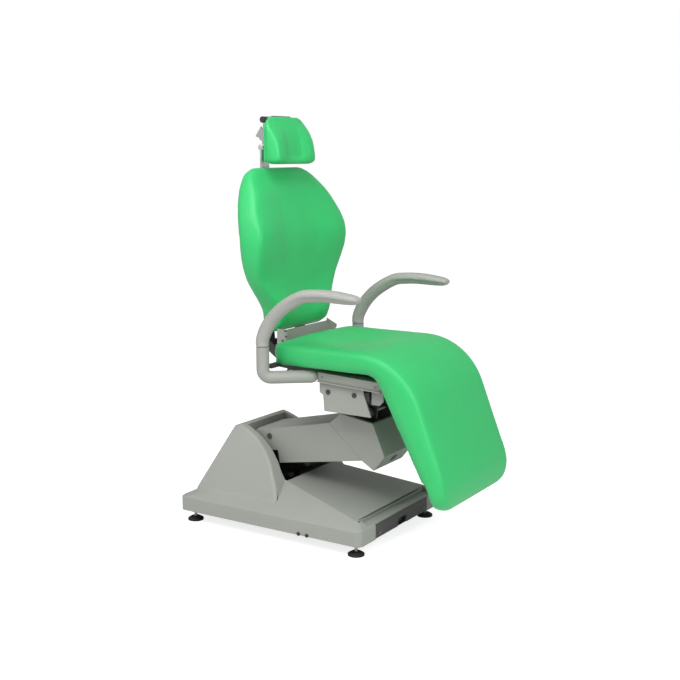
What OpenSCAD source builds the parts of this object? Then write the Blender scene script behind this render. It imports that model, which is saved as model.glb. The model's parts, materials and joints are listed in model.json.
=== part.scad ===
// Ear, nose and throat treatment chair on a lifting arm, in millimetres.
// The chair faces -Y and its right side is -X. Heights are above the floor.
// Side outlines are written as [y, z] pairs.

/* [Base] */
// Width of the base
base_w = 600; // [560:5:640]
// Length of the base
base_l = 812; // [780:4:860]
// Height of the cover's lower edge above the floor
foot_h = 45; // [40:1:55]
// Height of the upright skirt
skirt_h = 57; // [50:1:64]
// Rise of the housing above the skirt, at the back
hump_rise = 277; // [270:1:285]
// Wall of the moulded covers
cover_wall = 3; // [2:0.5:4]
// Diameter of a foot pad
pad_d = 60; // [50:1:70]

/* [Lift] */
// Distance of the lift pivot behind the base's centre
pivot_back = 165; // [160:1:170]
// Height of the lift pivot above the base plate
pivot_h = 245; // [242:1:248]
// Level distance from the lift pivot to the seat pivot
arm_reach = 470; // [460:1:480]
// Rise from the lift pivot to the seat pivot
arm_rise = 170; // [165:1:175]
// Distance between the arm and the level link
link_drop = 55; // [50:1:58]
// Width of the arm's cover
arm_w = 210; // [206:1:214]

/* [Seat] */
// Height of the cushion's underside above the seat pivot
seat_rise = 187; // [184:1:192]
// Width of the seat cushion
seat_w = 530; // [500:5:560]
// Thickness of the seat cushion at its sides
seat_t = 67; // [55:1:75]
// Level length of the seat, back edge to the knee bend
seat_l = 374; // [360:1:384]
// Length of the straight leg part
leg_l = 245; // [230:5:260]
// Outer radius of the knee bend
knee_r = 250; // [230:5:270]
// Depth of the dished seat
dish = 26; // [10:1:34]

/* [Back] */
// Height of the back cushion, along its slope
back_h = 604; // [580:4:640]
// Greatest width of the back cushion
back_w = 596; // [540:4:604]
// Thickness of the back cushion
back_t = 80; // [60:1:90]
// Lean of the back at rest, in degrees
back_lean = 7; // [4:0.5:10]

/* [Armrests] */
// Distance between the armrest posts
post_gap = 646; // [640:2:680]
// Diameter of an armrest post
post_d = 46; // [40:1:50]
// Reach of an armrest in front of its post
rest_reach = 400; // [360:5:430]
// Rise of an armrest above its post
rest_rise = 218; // [200:1:230]

/* [Headrest] */
// Width of the headrest cushion
head_w = 256; // [220:4:270]
// Height of the headrest cushion
head_h = 172; // [150:2:190]
// Thickness of the headrest cushion
head_t = 62; // [50:1:70]
// Height of the knuckle above the back's top edge
knuckle_h = 68; // [64:1:80]

/* [Hidden] */

// Smoothness of round parts
$fn = 48;
// Corner count of round parts inside a blended shape
blend_fn = 24;
// How far a cutting shape runs past the surface it cuts
over = 1;
// Radial room of a pin that turns in its hole
running = 0.05;
// Room between a soft piece and what it lies on
soft_gap = 0.3;
// Room between parts that slide past each other
slide_gap = 0.5;

// Colours
grey = [0.60, 0.61, 0.58];
dark_grey = [0.24, 0.24, 0.23];
green = [0.18, 0.66, 0.38];
black = [0.06, 0.06, 0.06];
steel = [0.55, 0.56, 0.57];
bronze = [0.62, 0.47, 0.26];

// Base plate and feet
plate_t = 8;
plate_inset = 26;
tab_w = 60;
tab_side_y = 230;
tab_front_x = 60;
plate_z = foot_h + 4;
plate_top = plate_z + plate_t;
foot_inset_x = 44;
foot_inset_y = 42;
pad_t = 13;
stud_r = 6;
stud_top = 14;
nut_t = 9;
nut_r = 11;

// Skirt and housing of the base cover
skirt_top = foot_h + skirt_h;
skirt_r = 24;
shoulder = 6;
ridge_rise_back = 88;
ridge_rise_front = 19;
ridge_x_back = 150;
ridge_x_front = 252;
ridge_y_back = 20;
ridge_inset_front = 32;
ridge_r = 6;
tray_x_back = 62;
tray_x_front = 186;
tray_y_back = -30;
tray_depth_back = 7;
tray_depth_front = 6;
ledge_inset = 44;
ledge_w = 480;
ledge_rise = 3;
hump_top = skirt_top + hump_rise;
hump_foot_y = -15;
hump_rear_inset = 46;
hump_rear_y = base_l / 2 - hump_rear_inset;
hump_foot_hw = 264;
hump_top_hw = 146;
hump_profile_shares = [[0.00, 0.11], [0.03, 0.21], [0.06, 0.30], [0.10, 0.39], [0.16, 0.53], [0.23, 0.65],
    [0.31, 0.75], [0.39, 0.83], [0.47, 0.89], [0.56, 0.95], [0.64, 0.985], [0.71, 0.95],
    [0.73, 0.90], [1.00, 0.11]];
slot_top_hw = 121;
slot_foot_hw = 157;
slot_taper_h = 160;
slot_back_y = 209;
slot_front_y = 0;
slot_rear_rise = 96;

// Front panel, inlet and plugs
panel_w = 384;
panel_h = 52;
panel_t = 2;
inlet_w = 64;
inlet_h = 32;
inlet_depth = 22;
plug_r = 7;
plug_t = 3;
plug_y = -148;
plug_pitch = 36;
plug_rise = 5;
panel_lift = 3;
panel_screw_x = 165;
panel_screw_rise = 18;
supply_x = 50;
supply_w = 140;
supply_l = 160;
unit_w = 120;
unit_l = 140;
box_y = -290;
box_h = 40;
screw_r = 4;
screw_t = 2.5;
shank_r = 2;

// Tower, lift pivot and level link
tower_t = 8;
tower_x = 82;
pivot_y = pivot_back;
pivot_z = plate_top + pivot_h;
link_z = pivot_z - link_drop;
tower_foot_w = 120;
tower_head_r = 30;
tower_web_h = 42;
main_pin_r = 12;
pin_r = 8;
pin_head_t = 5;
pin_head_share = 1.4;
seat_pivot_y = pivot_y - arm_reach;
seat_pivot_z = pivot_z + arm_rise;
seat_link_z = seat_pivot_z - link_drop;
link_t = 16;
link_w = 30;
link_eye_r = 17;

// Lift motor between the base and the arm
motor_back = 40;
motor_h = 85;
motor_y = pivot_y + motor_back;
motor_z = plate_top + motor_h;
rod_pin_fwd = 255;
rod_pin_drop = 20;
rod_pin_y = pivot_y - rod_pin_fwd;
rod_pin_z = pivot_z - rod_pin_drop;
motor_run = sqrt(pow(motor_y - rod_pin_y, 2) + pow(rod_pin_z - motor_z, 2));
motor_tilt = atan2(rod_pin_z - motor_z, motor_y - rod_pin_y);
motor_len = 205;
motor_r = 26;
motor_neck = 14;
motor_can_r = 19;
motor_can_l = 96;
motor_bore_from = 80;
lift_rod_back = 36;
lift_rod_r = 11;
rod_eye_r = 19;
rod_eye_play = 4;
lug_t = 8;
lug_gap = 2 * motor_r + 6;
lug_r = 16;

// Arm beam and covers, outlines as shares of the arm's reach from the lift pivot
beam_t = 8;
beam_x = 70;
beam_boss_r = 32;
beam_tip_r = 19;
bush_wall = 4;
bush_len = beam_t + bush_wall;
beam_tie_shares = [[-0.55, 0.195], [-0.2, 0.09]];
beam_tie_r = 10;
beam_standoff_shares = [[-0.3, 0.075], [-0.55, 0.14], [-0.85, 0.23]];
rod_lug_share = 0.12;
arm_outline_shares = [[-0.975, -0.013], [-0.2, -0.145], [-0.181, -0.04], [-0.123, -0.049], [0.045, -0.08],
    [0.045, 0.09], [-0.677, 0.249]];
arm_top_shares = [[0.045, 0.085], [-0.677, 0.236], [-0.665, 0.262], [0.045, 0.105]];
elbow_outline_shares = [[-0.677, 0.249], [-0.975, -0.013], [-1.083, -0.077], [-1.179, 0.047], [-1.072, 0.294],
    [-0.779, 0.336]];
beam_open_shares = [[-0.95, 0.01], [-0.95, -0.3], [0.1, -0.3], [0.1, 0.07], [-0.5, 0.1]];
beam_outline_shares = [[0.0, 0.068], [-0.68, 0.225], [-0.88, 0.30], [-0.965, 0.397], [-1.03, 0.335],
    [-0.93, 0.20], [-0.60, 0.085], [0.0, -0.068]];
arm_bevel = 25;
elbow_slot_w = 180;
elbow_slot_front = 26;
elbow_slot_back = 57;
cap_r = 12;
cap_t = 2;
cap_back = -48;
cap_rise = 30;
plate_mark_w = 34;
plate_mark_h = 26;
plate_mark_t = 1;

// Seat carriage on top of the arm
deck_rise = 70;
deck_t = 6;
deck_z = seat_pivot_z + deck_rise;
ear_x = 50;
ear_t = 8;
ear_r = 17;
cheek_x = 195;
cheek_t = 5;
cheek_l = 218;
cheek_h = 112;
cheek_rise = 16;
cheek_outline_shares = [[0.60, 1.0], [0.60, 0.60], [0.53, 0.52], [0.51, 0], [-0.38, 0], [-0.24, 0.72],
    [-0.24, 1.0]];
cheek_bolt_shares = [[0.43, 0.64], [-0.07, 0.64]];
carriage_l = 176;
carriage_back = 104;
side_flange_h = 26;
side_flange_t = 8;
bolt_r = 9;
bolt_t = 4;
front_bracket_t = 5;
front_bracket_x = 186;
front_bracket_l = 48;
front_bracket_back = 77;
front_bracket_h = 82;
front_bracket_chamfer = 16;

// Rails beside the carriage
rail_x = 206;
rail_t = 3;
rail_back = 132;
rail_front = 130;
rail_drop = 64;
rail_h = 34;
rail_sink = 12;
rail_lip = 9;
rail_z = seat_pivot_z + seat_rise - rail_drop;
rail_screw_shares = [[0.86, 0.5], [-0.80, 0.15], [-0.90, 0.3]];

// Seat frame and board
seat_under_z = seat_pivot_z + seat_rise;
board_t = 10;
board_inset = 14;
board_z = seat_under_z - soft_gap - board_t;
frame_tube_w = 25;
frame_tube_h = 36;
frame_tube_x = 130;
frame_z = board_z - frame_tube_h;
frame_back = 10;
frame_cross_back = 75;
frame_cross_front = 295;
leg_strut_l = 230;
leg_strut_t = 12;

// Seat cushion outline, side view
seat_back_y = 2;
seat_end_r = 30;
dish_run = 110;
knee_inner_r = 62;
leg_outer_lean = 21;
leg_inner_lean = 28;
leg_tip_r = 24;
leg_corner_r = 86;
leg_roll_r = 250;
leg_roll = 31;
seat_inner_over = 26;
leg_inner_over = 124;
seat_inner_l = seat_l + seat_inner_over;
leg_inner_l = leg_l + leg_inner_over;
leg_inner_roll_r = 200;
seat_corner_r = 55;
seat_waist = 4;
seat_side_r = 26;
crown = 5;
cushion_square = 0.7;
side_step = 22.5;
face_steps = 10;
under_steps = 4;
hollow_flat_share = 0.25;
hollow_slope_share = 0.6;
end_step_shares = [0, 0.07, 0.27, 0.54, 0.77];
far_off = 1000;
cap_from = 4;

// Back hinge, motor and levers
hinge_y = 38;
hinge_drop = 26;
hinge_z = seat_under_z - hinge_drop;
hinge_r = 10;
hinge_x = 158;
hinge_boss_r = 16;
hinge_ear_in = 6;
hinge_ear_t = 12;
hub_r = 18;
lever_drop = 50;
lever_swing = 35;
lever_t = 6;
lever_x = 14;
lever_w = 30;
lever_slot_play = 2.3;
lever_tail = 20;
crank_z = hinge_z - lever_drop;
crank_y = hinge_y + lever_drop * tan(lever_swing);
crank_pin_r = 7;
back_motor_r = 22;
back_motor_len = 250;
back_motor_end_y = -72;
back_bore = 160;
back_bore_free = 84;
back_rod_r = 9;

// Armrest posts and tubes
post_x = post_gap / 2;
post_y = -15;
seam_rise = 64;
seam_z = seat_under_z + seam_rise;
tube_drop = 47;
tube_z = seat_under_z - tube_drop;
tube_bend_r = 28;
tube_sides = 28;
tube_in_x = 214;
tube_in_y = -150;
tube_lug_l = 50;
tube_lug_h = 22;
pivot_stub_r = 14;
pivot_stub_h = 30;
seam_gap = 0.3;
rest_ring = 20;
rest_pad_from = 0.3;
rest_spine_share = 0.62;
rest_shares = [[0, 0, 1, 1], [0, 0.115, 1.05, 1], [0.035, 0.27, 1.1, 1.02], [0.094, 0.436, 1.08, 1.06],
    [0.175, 0.59, 1.06, 1.12], [0.277, 0.725, 1.05, 1.2], [0.415, 0.858, 1, 1.25], [0.52, 0.89, 0.96, 1.27],
    [0.647, 0.904, 0.93, 1.27], [0.76, 0.899, 0.9, 1.25], [0.874, 0.885, 0.82, 1.2], [0.96, 0.875, 0.65, 1.1],
    [1, 0.868, 0.3, 0.8]];

// Back cushion and frame
back_foot_rise = 93;
back_foot_z = seat_under_z + back_foot_rise;
back_foot_y = 14;
back_bow = 24;
back_outline_shares = [[0.00, 0.50], [0.02, 0.548], [0.05, 0.56], [0.10, 0.57], [0.15, 0.60], [0.20, 0.675],
    [0.25, 0.76], [0.30, 0.835], [0.35, 0.895], [0.40, 0.94], [0.45, 0.97], [0.50, 0.99], [0.56, 1.00],
    [0.62, 0.99], [0.68, 0.97], [0.74, 0.93], [0.80, 0.87], [0.85, 0.81], [0.90, 0.755], [0.94, 0.695],
    [0.97, 0.62], [1.00, 0.48]];
// Bow of the shell towards the sitter, front of the bolsters and front of the hollow between them, by height
back_bow_shares = [[0.00, 0.00], [0.10, 0.00], [0.20, 0.18], [0.30, 0.34], [0.40, 0.62],
    [0.50, 0.90], [0.58, 1.00], [0.66, 0.90], [0.75, 0.52], [0.82, 0.16], [0.86, 0.00], [1.00, 0.00]];
back_depth_shares = [[0.00, 0.30], [0.04, 0.02], [0.10, -0.18], [0.16, -0.20], [0.24, -0.06], [0.32, -0.02],
    [0.40, -0.17], [0.48, -0.40], [0.56, -0.54], [0.62, -0.54], [0.68, -0.42], [0.76, -0.24], [0.83, -0.09],
    [0.88, 0.10], [0.93, 0.36], [1.00, 0.58]];
back_centre_shares = [[0.00, 0.36], [0.05, 0.10], [0.12, 0.00], [0.28, 0.04], [0.40, -0.06], [0.50, -0.22],
    [0.58, -0.28], [0.68, -0.18], [0.78, -0.03], [0.86, 0.12], [0.93, 0.38], [1.00, 0.60]];
back_board_t = 12;
back_board_inset = 26;
back_edge_r = 30;
lower_panel_w = 330;
lower_panel_h = 84;
lower_panel_t = 3;
lower_panel_y = 30;
arm_bar_t = 6;
arm_bar_w = 44;
lower_panel_over = 10;
lower_flange = 42;
lower_flange_drop = 21;
lower_step_share = 0.62;
lower_screw_shares = [[0.85, 0.94], [0.9, 0.7], [0.55, 0.5]];
back_tube_x = 84;
back_tube_w = 25;
back_tube_drop = 60;
back_tube_short = 70;
back_cross_step = 3;
back_plate_x = 113;
back_plate_t = 8;
back_side_r = 26;
board_from_share = 0.04;

// Headrest bar, knuckles and plate
bar_w = 50;
bar_t = 8;
bar_len = 240;
guide_len = 120;
guide_drop = 30;
guide_foot_drop = 42;
guide_wall = 5;
bar_back = 36;
back_top_z = back_foot_z + back_h * cos(back_lean);
back_top_y = back_foot_y + back_h * sin(back_lean);
knuckle_z = back_top_z + knuckle_h;
bar_y = back_top_y + back_t + bar_back;
knuckle_r = 11;
knuckle_len = 54;
head_pivot_rise = 102;
head_pivot_fwd = 8;
head_pivot_y = bar_y - head_pivot_fwd;
head_pivot_z = knuckle_z + head_pivot_rise;
head_link_t = 6;
head_link_w = 22;
head_lift = 6;
head_foot_z = back_top_z + head_lift;
head_front_y = 54;
head_corner_r = 54;
head_bottom_r = 16;
head_edge_r = 18;
head_board_t = 8;
head_plate_t = 4;
head_plate_w = 120;
head_plate_h = 96;
head_pin_r = 5;
head_ear_t = 5;
head_ear_r = 12;
knob_r = 12;
knob_w = 16;
head_steps = 24;
// Front of the headrest's bolsters and of the hollow between them, by height
head_depth_shares = [[0.00, -0.05], [0.10, -0.09], [0.20, -0.07], [0.30, -0.02], [0.40, 0.04], [0.50, 0.12],
    [0.60, 0.26], [0.70, 0.44], [0.78, 0.61], [0.85, 0.74], [0.92, 0.83], [1.00, 0.88]];
head_centre_shares = [[0.00, 0.26], [0.12, 0.24], [0.30, 0.27], [0.45, 0.33], [0.60, 0.42], [0.72, 0.54],
    [0.82, 0.68], [0.90, 0.78], [1.00, 0.86]];
head_side_r = 24;
lever_nose = 7;
lever_pin_y = bar_y + 12;
lever_pin_z = knuckle_z + 34;
lever_arm = 44;
lever_thick = 6;

// Place of the base's centre behind the part's origin
leg_tip_y = -seat_l - knee_r * cos(leg_outer_lean) - leg_l * sin(leg_outer_lean)
    - leg_roll_r * (1 - cos(leg_outer_lean));
base_y = -(leg_tip_y + base_l / 2) / 2;

// Puts a piece drawn from the base's centre into the part's own frame
module placed() {
    translate([0, base_y, 0]) children();
}

// A side outline swept from x0 to x1
module across(outline, x0, x1) {
    translate([x0, 0, 0]) rotate([90, 0, 90]) linear_extrude(x1 - x0) polygon(outline);
}

// A round bar along the width
module round_x(y, z, r, x0, x1) {
    translate([x0, y, z]) rotate([0, 90, 0]) cylinder(r = r, h = x1 - x0);
}

// The same on both sides of the middle
module both() {
    children();
    mirror([1, 0, 0]) children();
}

// A box from its lowest to its highest corner
module block(low, high) {
    translate(low) cube(high - low);
}

// A plate with round corners, centred on the middle line
module rounded_plate(w, l, t, r) {
    linear_extrude(t) union() {
        square([w - 2 * r, l], center = true);
        square([w, l - 2 * r], center = true);
        for (x = [-1, 1], y = [-1, 1]) translate([x * (w / 2 - r), y * (l / 2 - r)]) circle(r);
    }
}

// A plate from a straight foot to a round head
module ear(y, z, r, foot_y, foot_z, foot_w, x0, x1) {
    across([[foot_y - foot_w / 2, foot_z], [foot_y + foot_w / 2, foot_z], [y + r, z], [y - r, z]], x0, x1);
    round_x(y, z, r, x0, x1);
}

// A pin along the width with a head at each end
module pin(y, z, r, half) {
    round_x(y, z, r, -half, half);
    both() round_x(y, z, r * pin_head_share, half, half + pin_head_t);
}

// A solid between a lower and an upper ring of four corners, both counterclockwise from above
module between(low, high) {
    polyhedron(concat(low, high), concat([[0, 1, 2], [0, 2, 3], [4, 6, 5], [4, 7, 6]],
        [for (i = [0:3]) [i, i + 4, (i + 1) % 4 + 4]], [for (i = [0:3]) [i, (i + 1) % 4 + 4, (i + 1) % 4]]));
}

// Points of an outline in shares of the arm's reach, seen from the side
function arm_points(shares) = [for (p = shares) [pivot_y + p[0] * arm_reach, pivot_z + p[1] * arm_reach]];

// A solid skin over rings of equal length, closed at both ends
module skin(rings) {
    n = len(rings[0]);
    last = (len(rings) - 1) * n;
    from = cap_from % n;
    polyhedron([for (ring = rings) each ring], concat(
        [for (i = [1:n - 2]) [from, (from + i) % n, (from + i + 1) % n]],
        [for (i = [1:n - 2]) [last + from, last + (from + i + 1) % n, last + (from + i) % n]],
        [for (k = [0:len(rings) - 2], i = [0:n - 1]) [k * n + i, (k + 1) * n + i, (k + 1) * n + (i + 1) % n]],
        [for (k = [0:len(rings) - 2], i = [0:n - 1]) [k * n + i, (k + 1) * n + (i + 1) % n,
            k * n + (i + 1) % n]]));
}

// A power that keeps the sign
function signed_pow(v, e) = sign(v) * pow(abs(v), e);

// Half of a cushion's soft cross-section step: 1 in the middle of its face, 0 on its bolsters
function hollow_share(u) = (1 + cos(180 * max(0,
    min(1, (abs(u) - hollow_flat_share) / hollow_slope_share)))) / 2;

// One ring of a cushion as [across, depth share from 0 to 1], w half its width and r its sides' roundness
function cushion_ring(w, r) = concat(
    [for (a = [-90:side_step:90]) [w - r + r * signed_pow(cos(a), cushion_square),
        (1 + signed_pow(sin(a), cushion_square)) / 2]],
    [for (i = [1:face_steps - 1]) [(w - r) * (1 - 2 * i / face_steps), 1]],
    [for (a = [90:-side_step:-90]) [r - w - r * signed_pow(cos(a), cushion_square),
        (1 + signed_pow(sin(a), cushion_square)) / 2]],
    [for (i = [1:under_steps - 1]) [(w - r) * (2 * i / under_steps - 1), 0]]);

// How much of the thickness is left at distance d from a rounded end
function end_share(d, r, t) = d >= r ? 1 : 1 - 2 * (r - sqrt(max(0, r * r - (r - d) * (r - d)))) / t;

// What a round corner takes off the half width at distance d from an end
function corner_cut(d, r) = d >= r ? 0 : r - sqrt(r * r - (r - d) * (r - d));

// The smooth curve through control points, at place k between point i and the next
function smooth(p, i, k) = let (a = p[max(0, i - 1)], b = p[i], c = p[i + 1], d = p[min(len(p) - 1, i + 2)])
    b + k * (c - a) / 2 + k * k * (a - 5 * b / 2 + 2 * c - d / 2) + k * k * k * (3 * b - a - 3 * c + d) / 2;

// How far along the deck's ridges a place is, 0 at their rear ends and 1 at their front ends
function ridge_share(y) = (ridge_y_back - y) / (ridge_y_back - ridge_inset_front + base_l / 2);

function ridge_z(y) = skirt_top + ridge_rise_back + ridge_share(y) * (ridge_rise_front - ridge_rise_back);

function ridge_x(y) = ridge_x_back + ridge_share(y) * (ridge_x_front - ridge_x_back);

// Outer form of the base cover, drawn in by inset on every side
module cover_form(inset) {
    l = base_l - 2 * inset;
    w = base_w - 2 * inset;
    ledge_z = skirt_top + ledge_rise - inset;
    tray_front_y = ledge_inset - base_l / 2;
    floor_back_z = ridge_z(tray_y_back) - tray_depth_back - inset;
    floor_front_z = ridge_z(tray_front_y) - tray_depth_front - inset;
    difference() {
        union() {
            translate([0, 0, foot_h - over * min(1, inset)])
                rounded_plate(w, l, skirt_h - shoulder + over * min(1, inset), skirt_r - inset);
            hull() {
                for (x = [-1, 1], y = [-1, 1], z = [0, 1])
                    translate([x * (w / 2 - skirt_r + inset - z * shoulder),
                        y * (l / 2 - skirt_r + inset - z * shoulder),
                        skirt_top - shoulder - inset + z * (shoulder - over)])
                    cylinder(r = skirt_r - inset, h = over, $fn = blend_fn);
                both() {
                    translate([ridge_x_back - inset, ridge_y_back - inset,
                        skirt_top + ridge_rise_back - inset - over])
                        cylinder(r = ridge_r, h = over, $fn = blend_fn);
                    translate([ridge_x_front - inset, ridge_inset_front - base_l / 2 + inset,
                        skirt_top + ridge_rise_front - inset - over])
                            cylinder(r = ridge_r, h = over, $fn = blend_fn);
                }
            }
            hump_form(inset);
        }
        between([[-tray_x_front, tray_front_y, floor_front_z], [tray_x_front, tray_front_y, floor_front_z],
                [tray_x_back, tray_y_back, floor_back_z], [-tray_x_back, tray_y_back, floor_back_z]],
            [for (p = [[-1, tray_front_y], [1, tray_front_y], [1, tray_y_back], [-1, tray_y_back]])
                [p[0] * (ridge_x(p[1]) - ridge_r), p[1], ridge_z(p[1]) + over]]);
        block([-ledge_w / 2 - inset, -base_l, ledge_z],
            [ledge_w / 2 + inset, tray_front_y + inset, hump_top]);
    }
}

// The tall housing over the tower, drawn in by inset
module hump_form(inset) {
    run = hump_rear_y - hump_foot_y;
    intersection() {
        translate([-base_w / 2, 0, 0]) rotate([90, 0, 90]) linear_extrude(base_w) offset(delta = -inset)
            polygon(concat([[hump_foot_y, foot_h]],
                [for (p = hump_profile_shares) [hump_foot_y + p[0] * run, skirt_top + p[1] * hump_rise]],
                [[hump_rear_y, foot_h]]));
        translate([0, base_l / 2, 0]) rotate([90, 0, 0]) linear_extrude(base_l) offset(delta = -inset)
            polygon([[-hump_foot_hw, skirt_top], [hump_foot_hw, skirt_top], [hump_top_hw, hump_top],
                [-hump_top_hw, hump_top]]);
    }
}

module base_plate() {
    color(dark_grey) placed() difference() {
        union() {
            translate([0, 0, plate_z])
                rounded_plate(base_w - 2 * plate_inset, base_l - 2 * plate_inset, plate_t, skirt_r);
            // tabs that carry the cover and the front panel
            both() {
                for (y = [-tab_side_y, tab_side_y]) block([base_w / 2 - plate_inset - over, y - tab_w / 2,
                    plate_z],
                    [base_w / 2 - cover_wall, y + tab_w / 2, plate_top]);
                block([tab_front_x, panel_t - base_l / 2, plate_z],
                    [tab_front_x + tab_w, plate_inset - base_l / 2 + over, plate_top]);
            }
            both() ear(motor_y, motor_z, lug_r, motor_y, plate_top, 2 * lug_r, lug_gap / 2,
                lug_gap / 2 + lug_t);
        }
        feet() translate([0, 0, plate_z - over]) cylinder(r = stud_r, h = plate_t + 2 * over);
        round_x(motor_y, motor_z, pin_r, -lug_gap, lug_gap);
    }
}

// The four foot places
module feet() {
    for (x = [-1, 1], y = [-1, 1])
        translate([x * (base_w / 2 - foot_inset_x), y * (base_l / 2 - foot_inset_y), 0]) children();
}

module pivot_tower() {
    color(dark_grey) placed() difference() {
        union() {
            both() ear(pivot_y, pivot_z, tower_head_r, pivot_y, plate_top, tower_foot_w, tower_x,
                tower_x + tower_t);
            block([-tower_x, pivot_y - tower_foot_w / 2 + tower_t, plate_top],
                [tower_x, pivot_y - tower_foot_w / 2 + 2 * tower_t, plate_top + tower_web_h]);
        }
        round_x(pivot_y, pivot_z, main_pin_r, -arm_w / 2, arm_w / 2);
        round_x(pivot_y, link_z, pin_r, -arm_w / 2, arm_w / 2);
    }
}

// The slot the arm passes through, grown by a wall on its sides and its rear
module slot_form(wall) {
    translate([0, slot_back_y + wall, 0]) rotate([90, 0, 0]) linear_extrude(slot_back_y + wall - slot_front_y)
        offset(delta = wall) polygon([[-slot_foot_hw, skirt_top - over], [slot_foot_hw, skirt_top - over],
            [slot_foot_hw, hump_top - slot_taper_h], [slot_top_hw, hump_top + over],
            [-slot_top_hw, hump_top + over], [-slot_foot_hw, hump_top - slot_taper_h]]);
}

module base_cover() {
    color(grey) placed() difference() {
        union() {
            difference() {
                cover_form(0);
                cover_form(cover_wall);
            }
            intersection() {
                hump_form(0);
                // the rear wall stops above the tower's feet
                difference() {
                    slot_form(cover_wall);
                    block([-slot_foot_hw, slot_back_y - over, skirt_top - 2 * cover_wall],
                        [slot_foot_hw, slot_back_y + 2 * cover_wall, skirt_top + slot_rear_rise]);
                }
            }
        }
        slot_form(0);
        block([-panel_w / 2 - slide_gap, -base_l, foot_h - over],
            [panel_w / 2 + slide_gap, cover_wall - base_l / 2 + over,
                foot_h + panel_lift + panel_h + slide_gap]);
        cover_screw_places() {
            translate([0, 0, -2 * cover_wall]) cylinder(r = shank_r, h = 4 * cover_wall);
            cylinder(r = screw_r + slide_gap, h = 2 * cover_wall);
        }
        plug_places() round_x(0, 0, shank_r, -over, 2 * cover_wall);
    }
}

module cover_screw_places() {
    both() translate([ridge_x_front, ridge_inset_front - base_l / 2, skirt_top + ridge_rise_front])
        children();
}

module cover_screws() {
    color(dark_grey) placed() cover_screw_places() {
        cylinder(r = screw_r, h = screw_t);
        translate([0, 0, -2 * cover_wall]) cylinder(r = shank_r, h = 2 * cover_wall + screw_t / 2);
    }
}

module front_panel() {
    y = -base_l / 2;
    z = foot_h + panel_lift;
    color(dark_grey) placed() difference() {
        block([-panel_w / 2, y, z], [panel_w / 2, y + panel_t, z + panel_h]);
        block([-inlet_w / 2, y - over, foot_h], [inlet_w / 2, y + panel_t + over, foot_h + inlet_h]);
        panel_screw_places() rotate([-90, 0, 0]) cylinder(r = shank_r, h = 2 * cover_wall);
    }
}

module panel_screw_places() {
    both() translate([panel_screw_x, -base_l / 2 - over, foot_h + panel_screw_rise]) children();
}

module panel_screws() {
    color(steel) placed() both() translate([panel_screw_x, -base_l / 2, foot_h + panel_screw_rise])
        rotate([90, 0, 0]) {
        cylinder(r = screw_r, h = screw_t);
        translate([0, 0, -2 * panel_t]) cylinder(r = shank_r, h = 2 * panel_t + screw_t / 2);
    }
}

module mains_inlet() {
    y = -base_l / 2 + panel_t;
    z = foot_h + panel_lift + slide_gap;
    half = inlet_w / 2 + shoulder / 2;
    color(black) placed() difference() {
        block([-half, y, z], [half, y + inlet_depth, foot_h + inlet_h + shoulder / 2]);
        block([-inlet_w / 2 + shoulder, y - over, z + shoulder / 2],
            [inlet_w / 2 - shoulder, y + inlet_depth / 2, foot_h + inlet_h - shoulder / 2]);
    }
}

module plug_places() {
    for (y = [plug_y, plug_y - plug_pitch]) translate([-base_w / 2, y, foot_h + plug_rise]) children();
}

module side_plugs() {
    color(black) placed() plug_places() {
        round_x(0, 0, plug_r, -plug_t, 0);
        round_x(0, 0, shank_r, -plug_t, 2 * cover_wall);
    }
}

module foot_pads() {
    color(black) placed() feet() {
        cylinder(r = pad_d / 2, h = pad_t / 2);
        translate([0, 0, pad_t / 2]) cylinder(r1 = pad_d / 2, r2 = pad_d / 3, h = pad_t / 2);
    }
}

module foot_studs() {
    color(steel) placed() feet() translate([0, 0, pad_t])
        cylinder(r = stud_r, h = plate_top + stud_top - pad_t);
}

module foot_nuts() {
    color(steel) placed() feet() for (z = [plate_z - nut_t, plate_top]) translate([0, 0, z]) difference() {
        cylinder(r = nut_r, h = nut_t, $fn = 6);
        translate([0, 0, -over]) cylinder(r = stud_r, h = nut_t + 2 * over);
    }
}

module pivot_pins() {
    color(steel) placed() {
        pin(pivot_y, pivot_z, main_pin_r, tower_x + tower_t);
        pin(pivot_y, link_z, pin_r, tower_x + tower_t);
        pin(motor_y, motor_z, pin_r, lug_gap / 2 + lug_t);
    }
}

module power_supply() {
    color(steel) placed() block([supply_x, box_y, plate_top],
        [supply_x + supply_w, box_y + supply_l, plate_top + box_h]);
}

module control_unit() {
    color(black) placed()
        block([-supply_x - unit_w, box_y, plate_top], [-supply_x, box_y + unit_l, plate_top + box_h]);
}

module arm_beam() {
    lug_z = pivot_z + rod_lug_share * arm_reach;
    color(dark_grey) placed() difference() {
        union() {
            both() {
                across(arm_points(beam_outline_shares), beam_x, beam_x + beam_t);
                round_x(pivot_y, pivot_z, beam_boss_r, beam_x, beam_x + beam_t);
                round_x(seat_pivot_y, seat_pivot_z, beam_tip_r, beam_x, beam_x + beam_t);
                for (p = arm_points(beam_standoff_shares))
                    round_x(p[0], p[1], beam_tie_r, beam_x + beam_t - over, arm_w / 2 - cover_wall);
                ear(rod_pin_y, rod_pin_z, lug_r, rod_pin_y, lug_z, 5 * lug_r, beam_x, beam_x + beam_t);
            }
            for (p = arm_points(beam_tie_shares)) round_x(p[0], p[1], beam_tie_r, -beam_x - over,
                beam_x + over);
        }
        round_x(pivot_y, pivot_z, main_pin_r + bush_wall, -arm_w / 2, arm_w / 2);
        round_x(seat_pivot_y, seat_pivot_z, pin_r + running, -arm_w / 2, arm_w / 2);
        round_x(rod_pin_y, rod_pin_z, pin_r, -arm_w / 2, arm_w / 2);
    }
}

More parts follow.
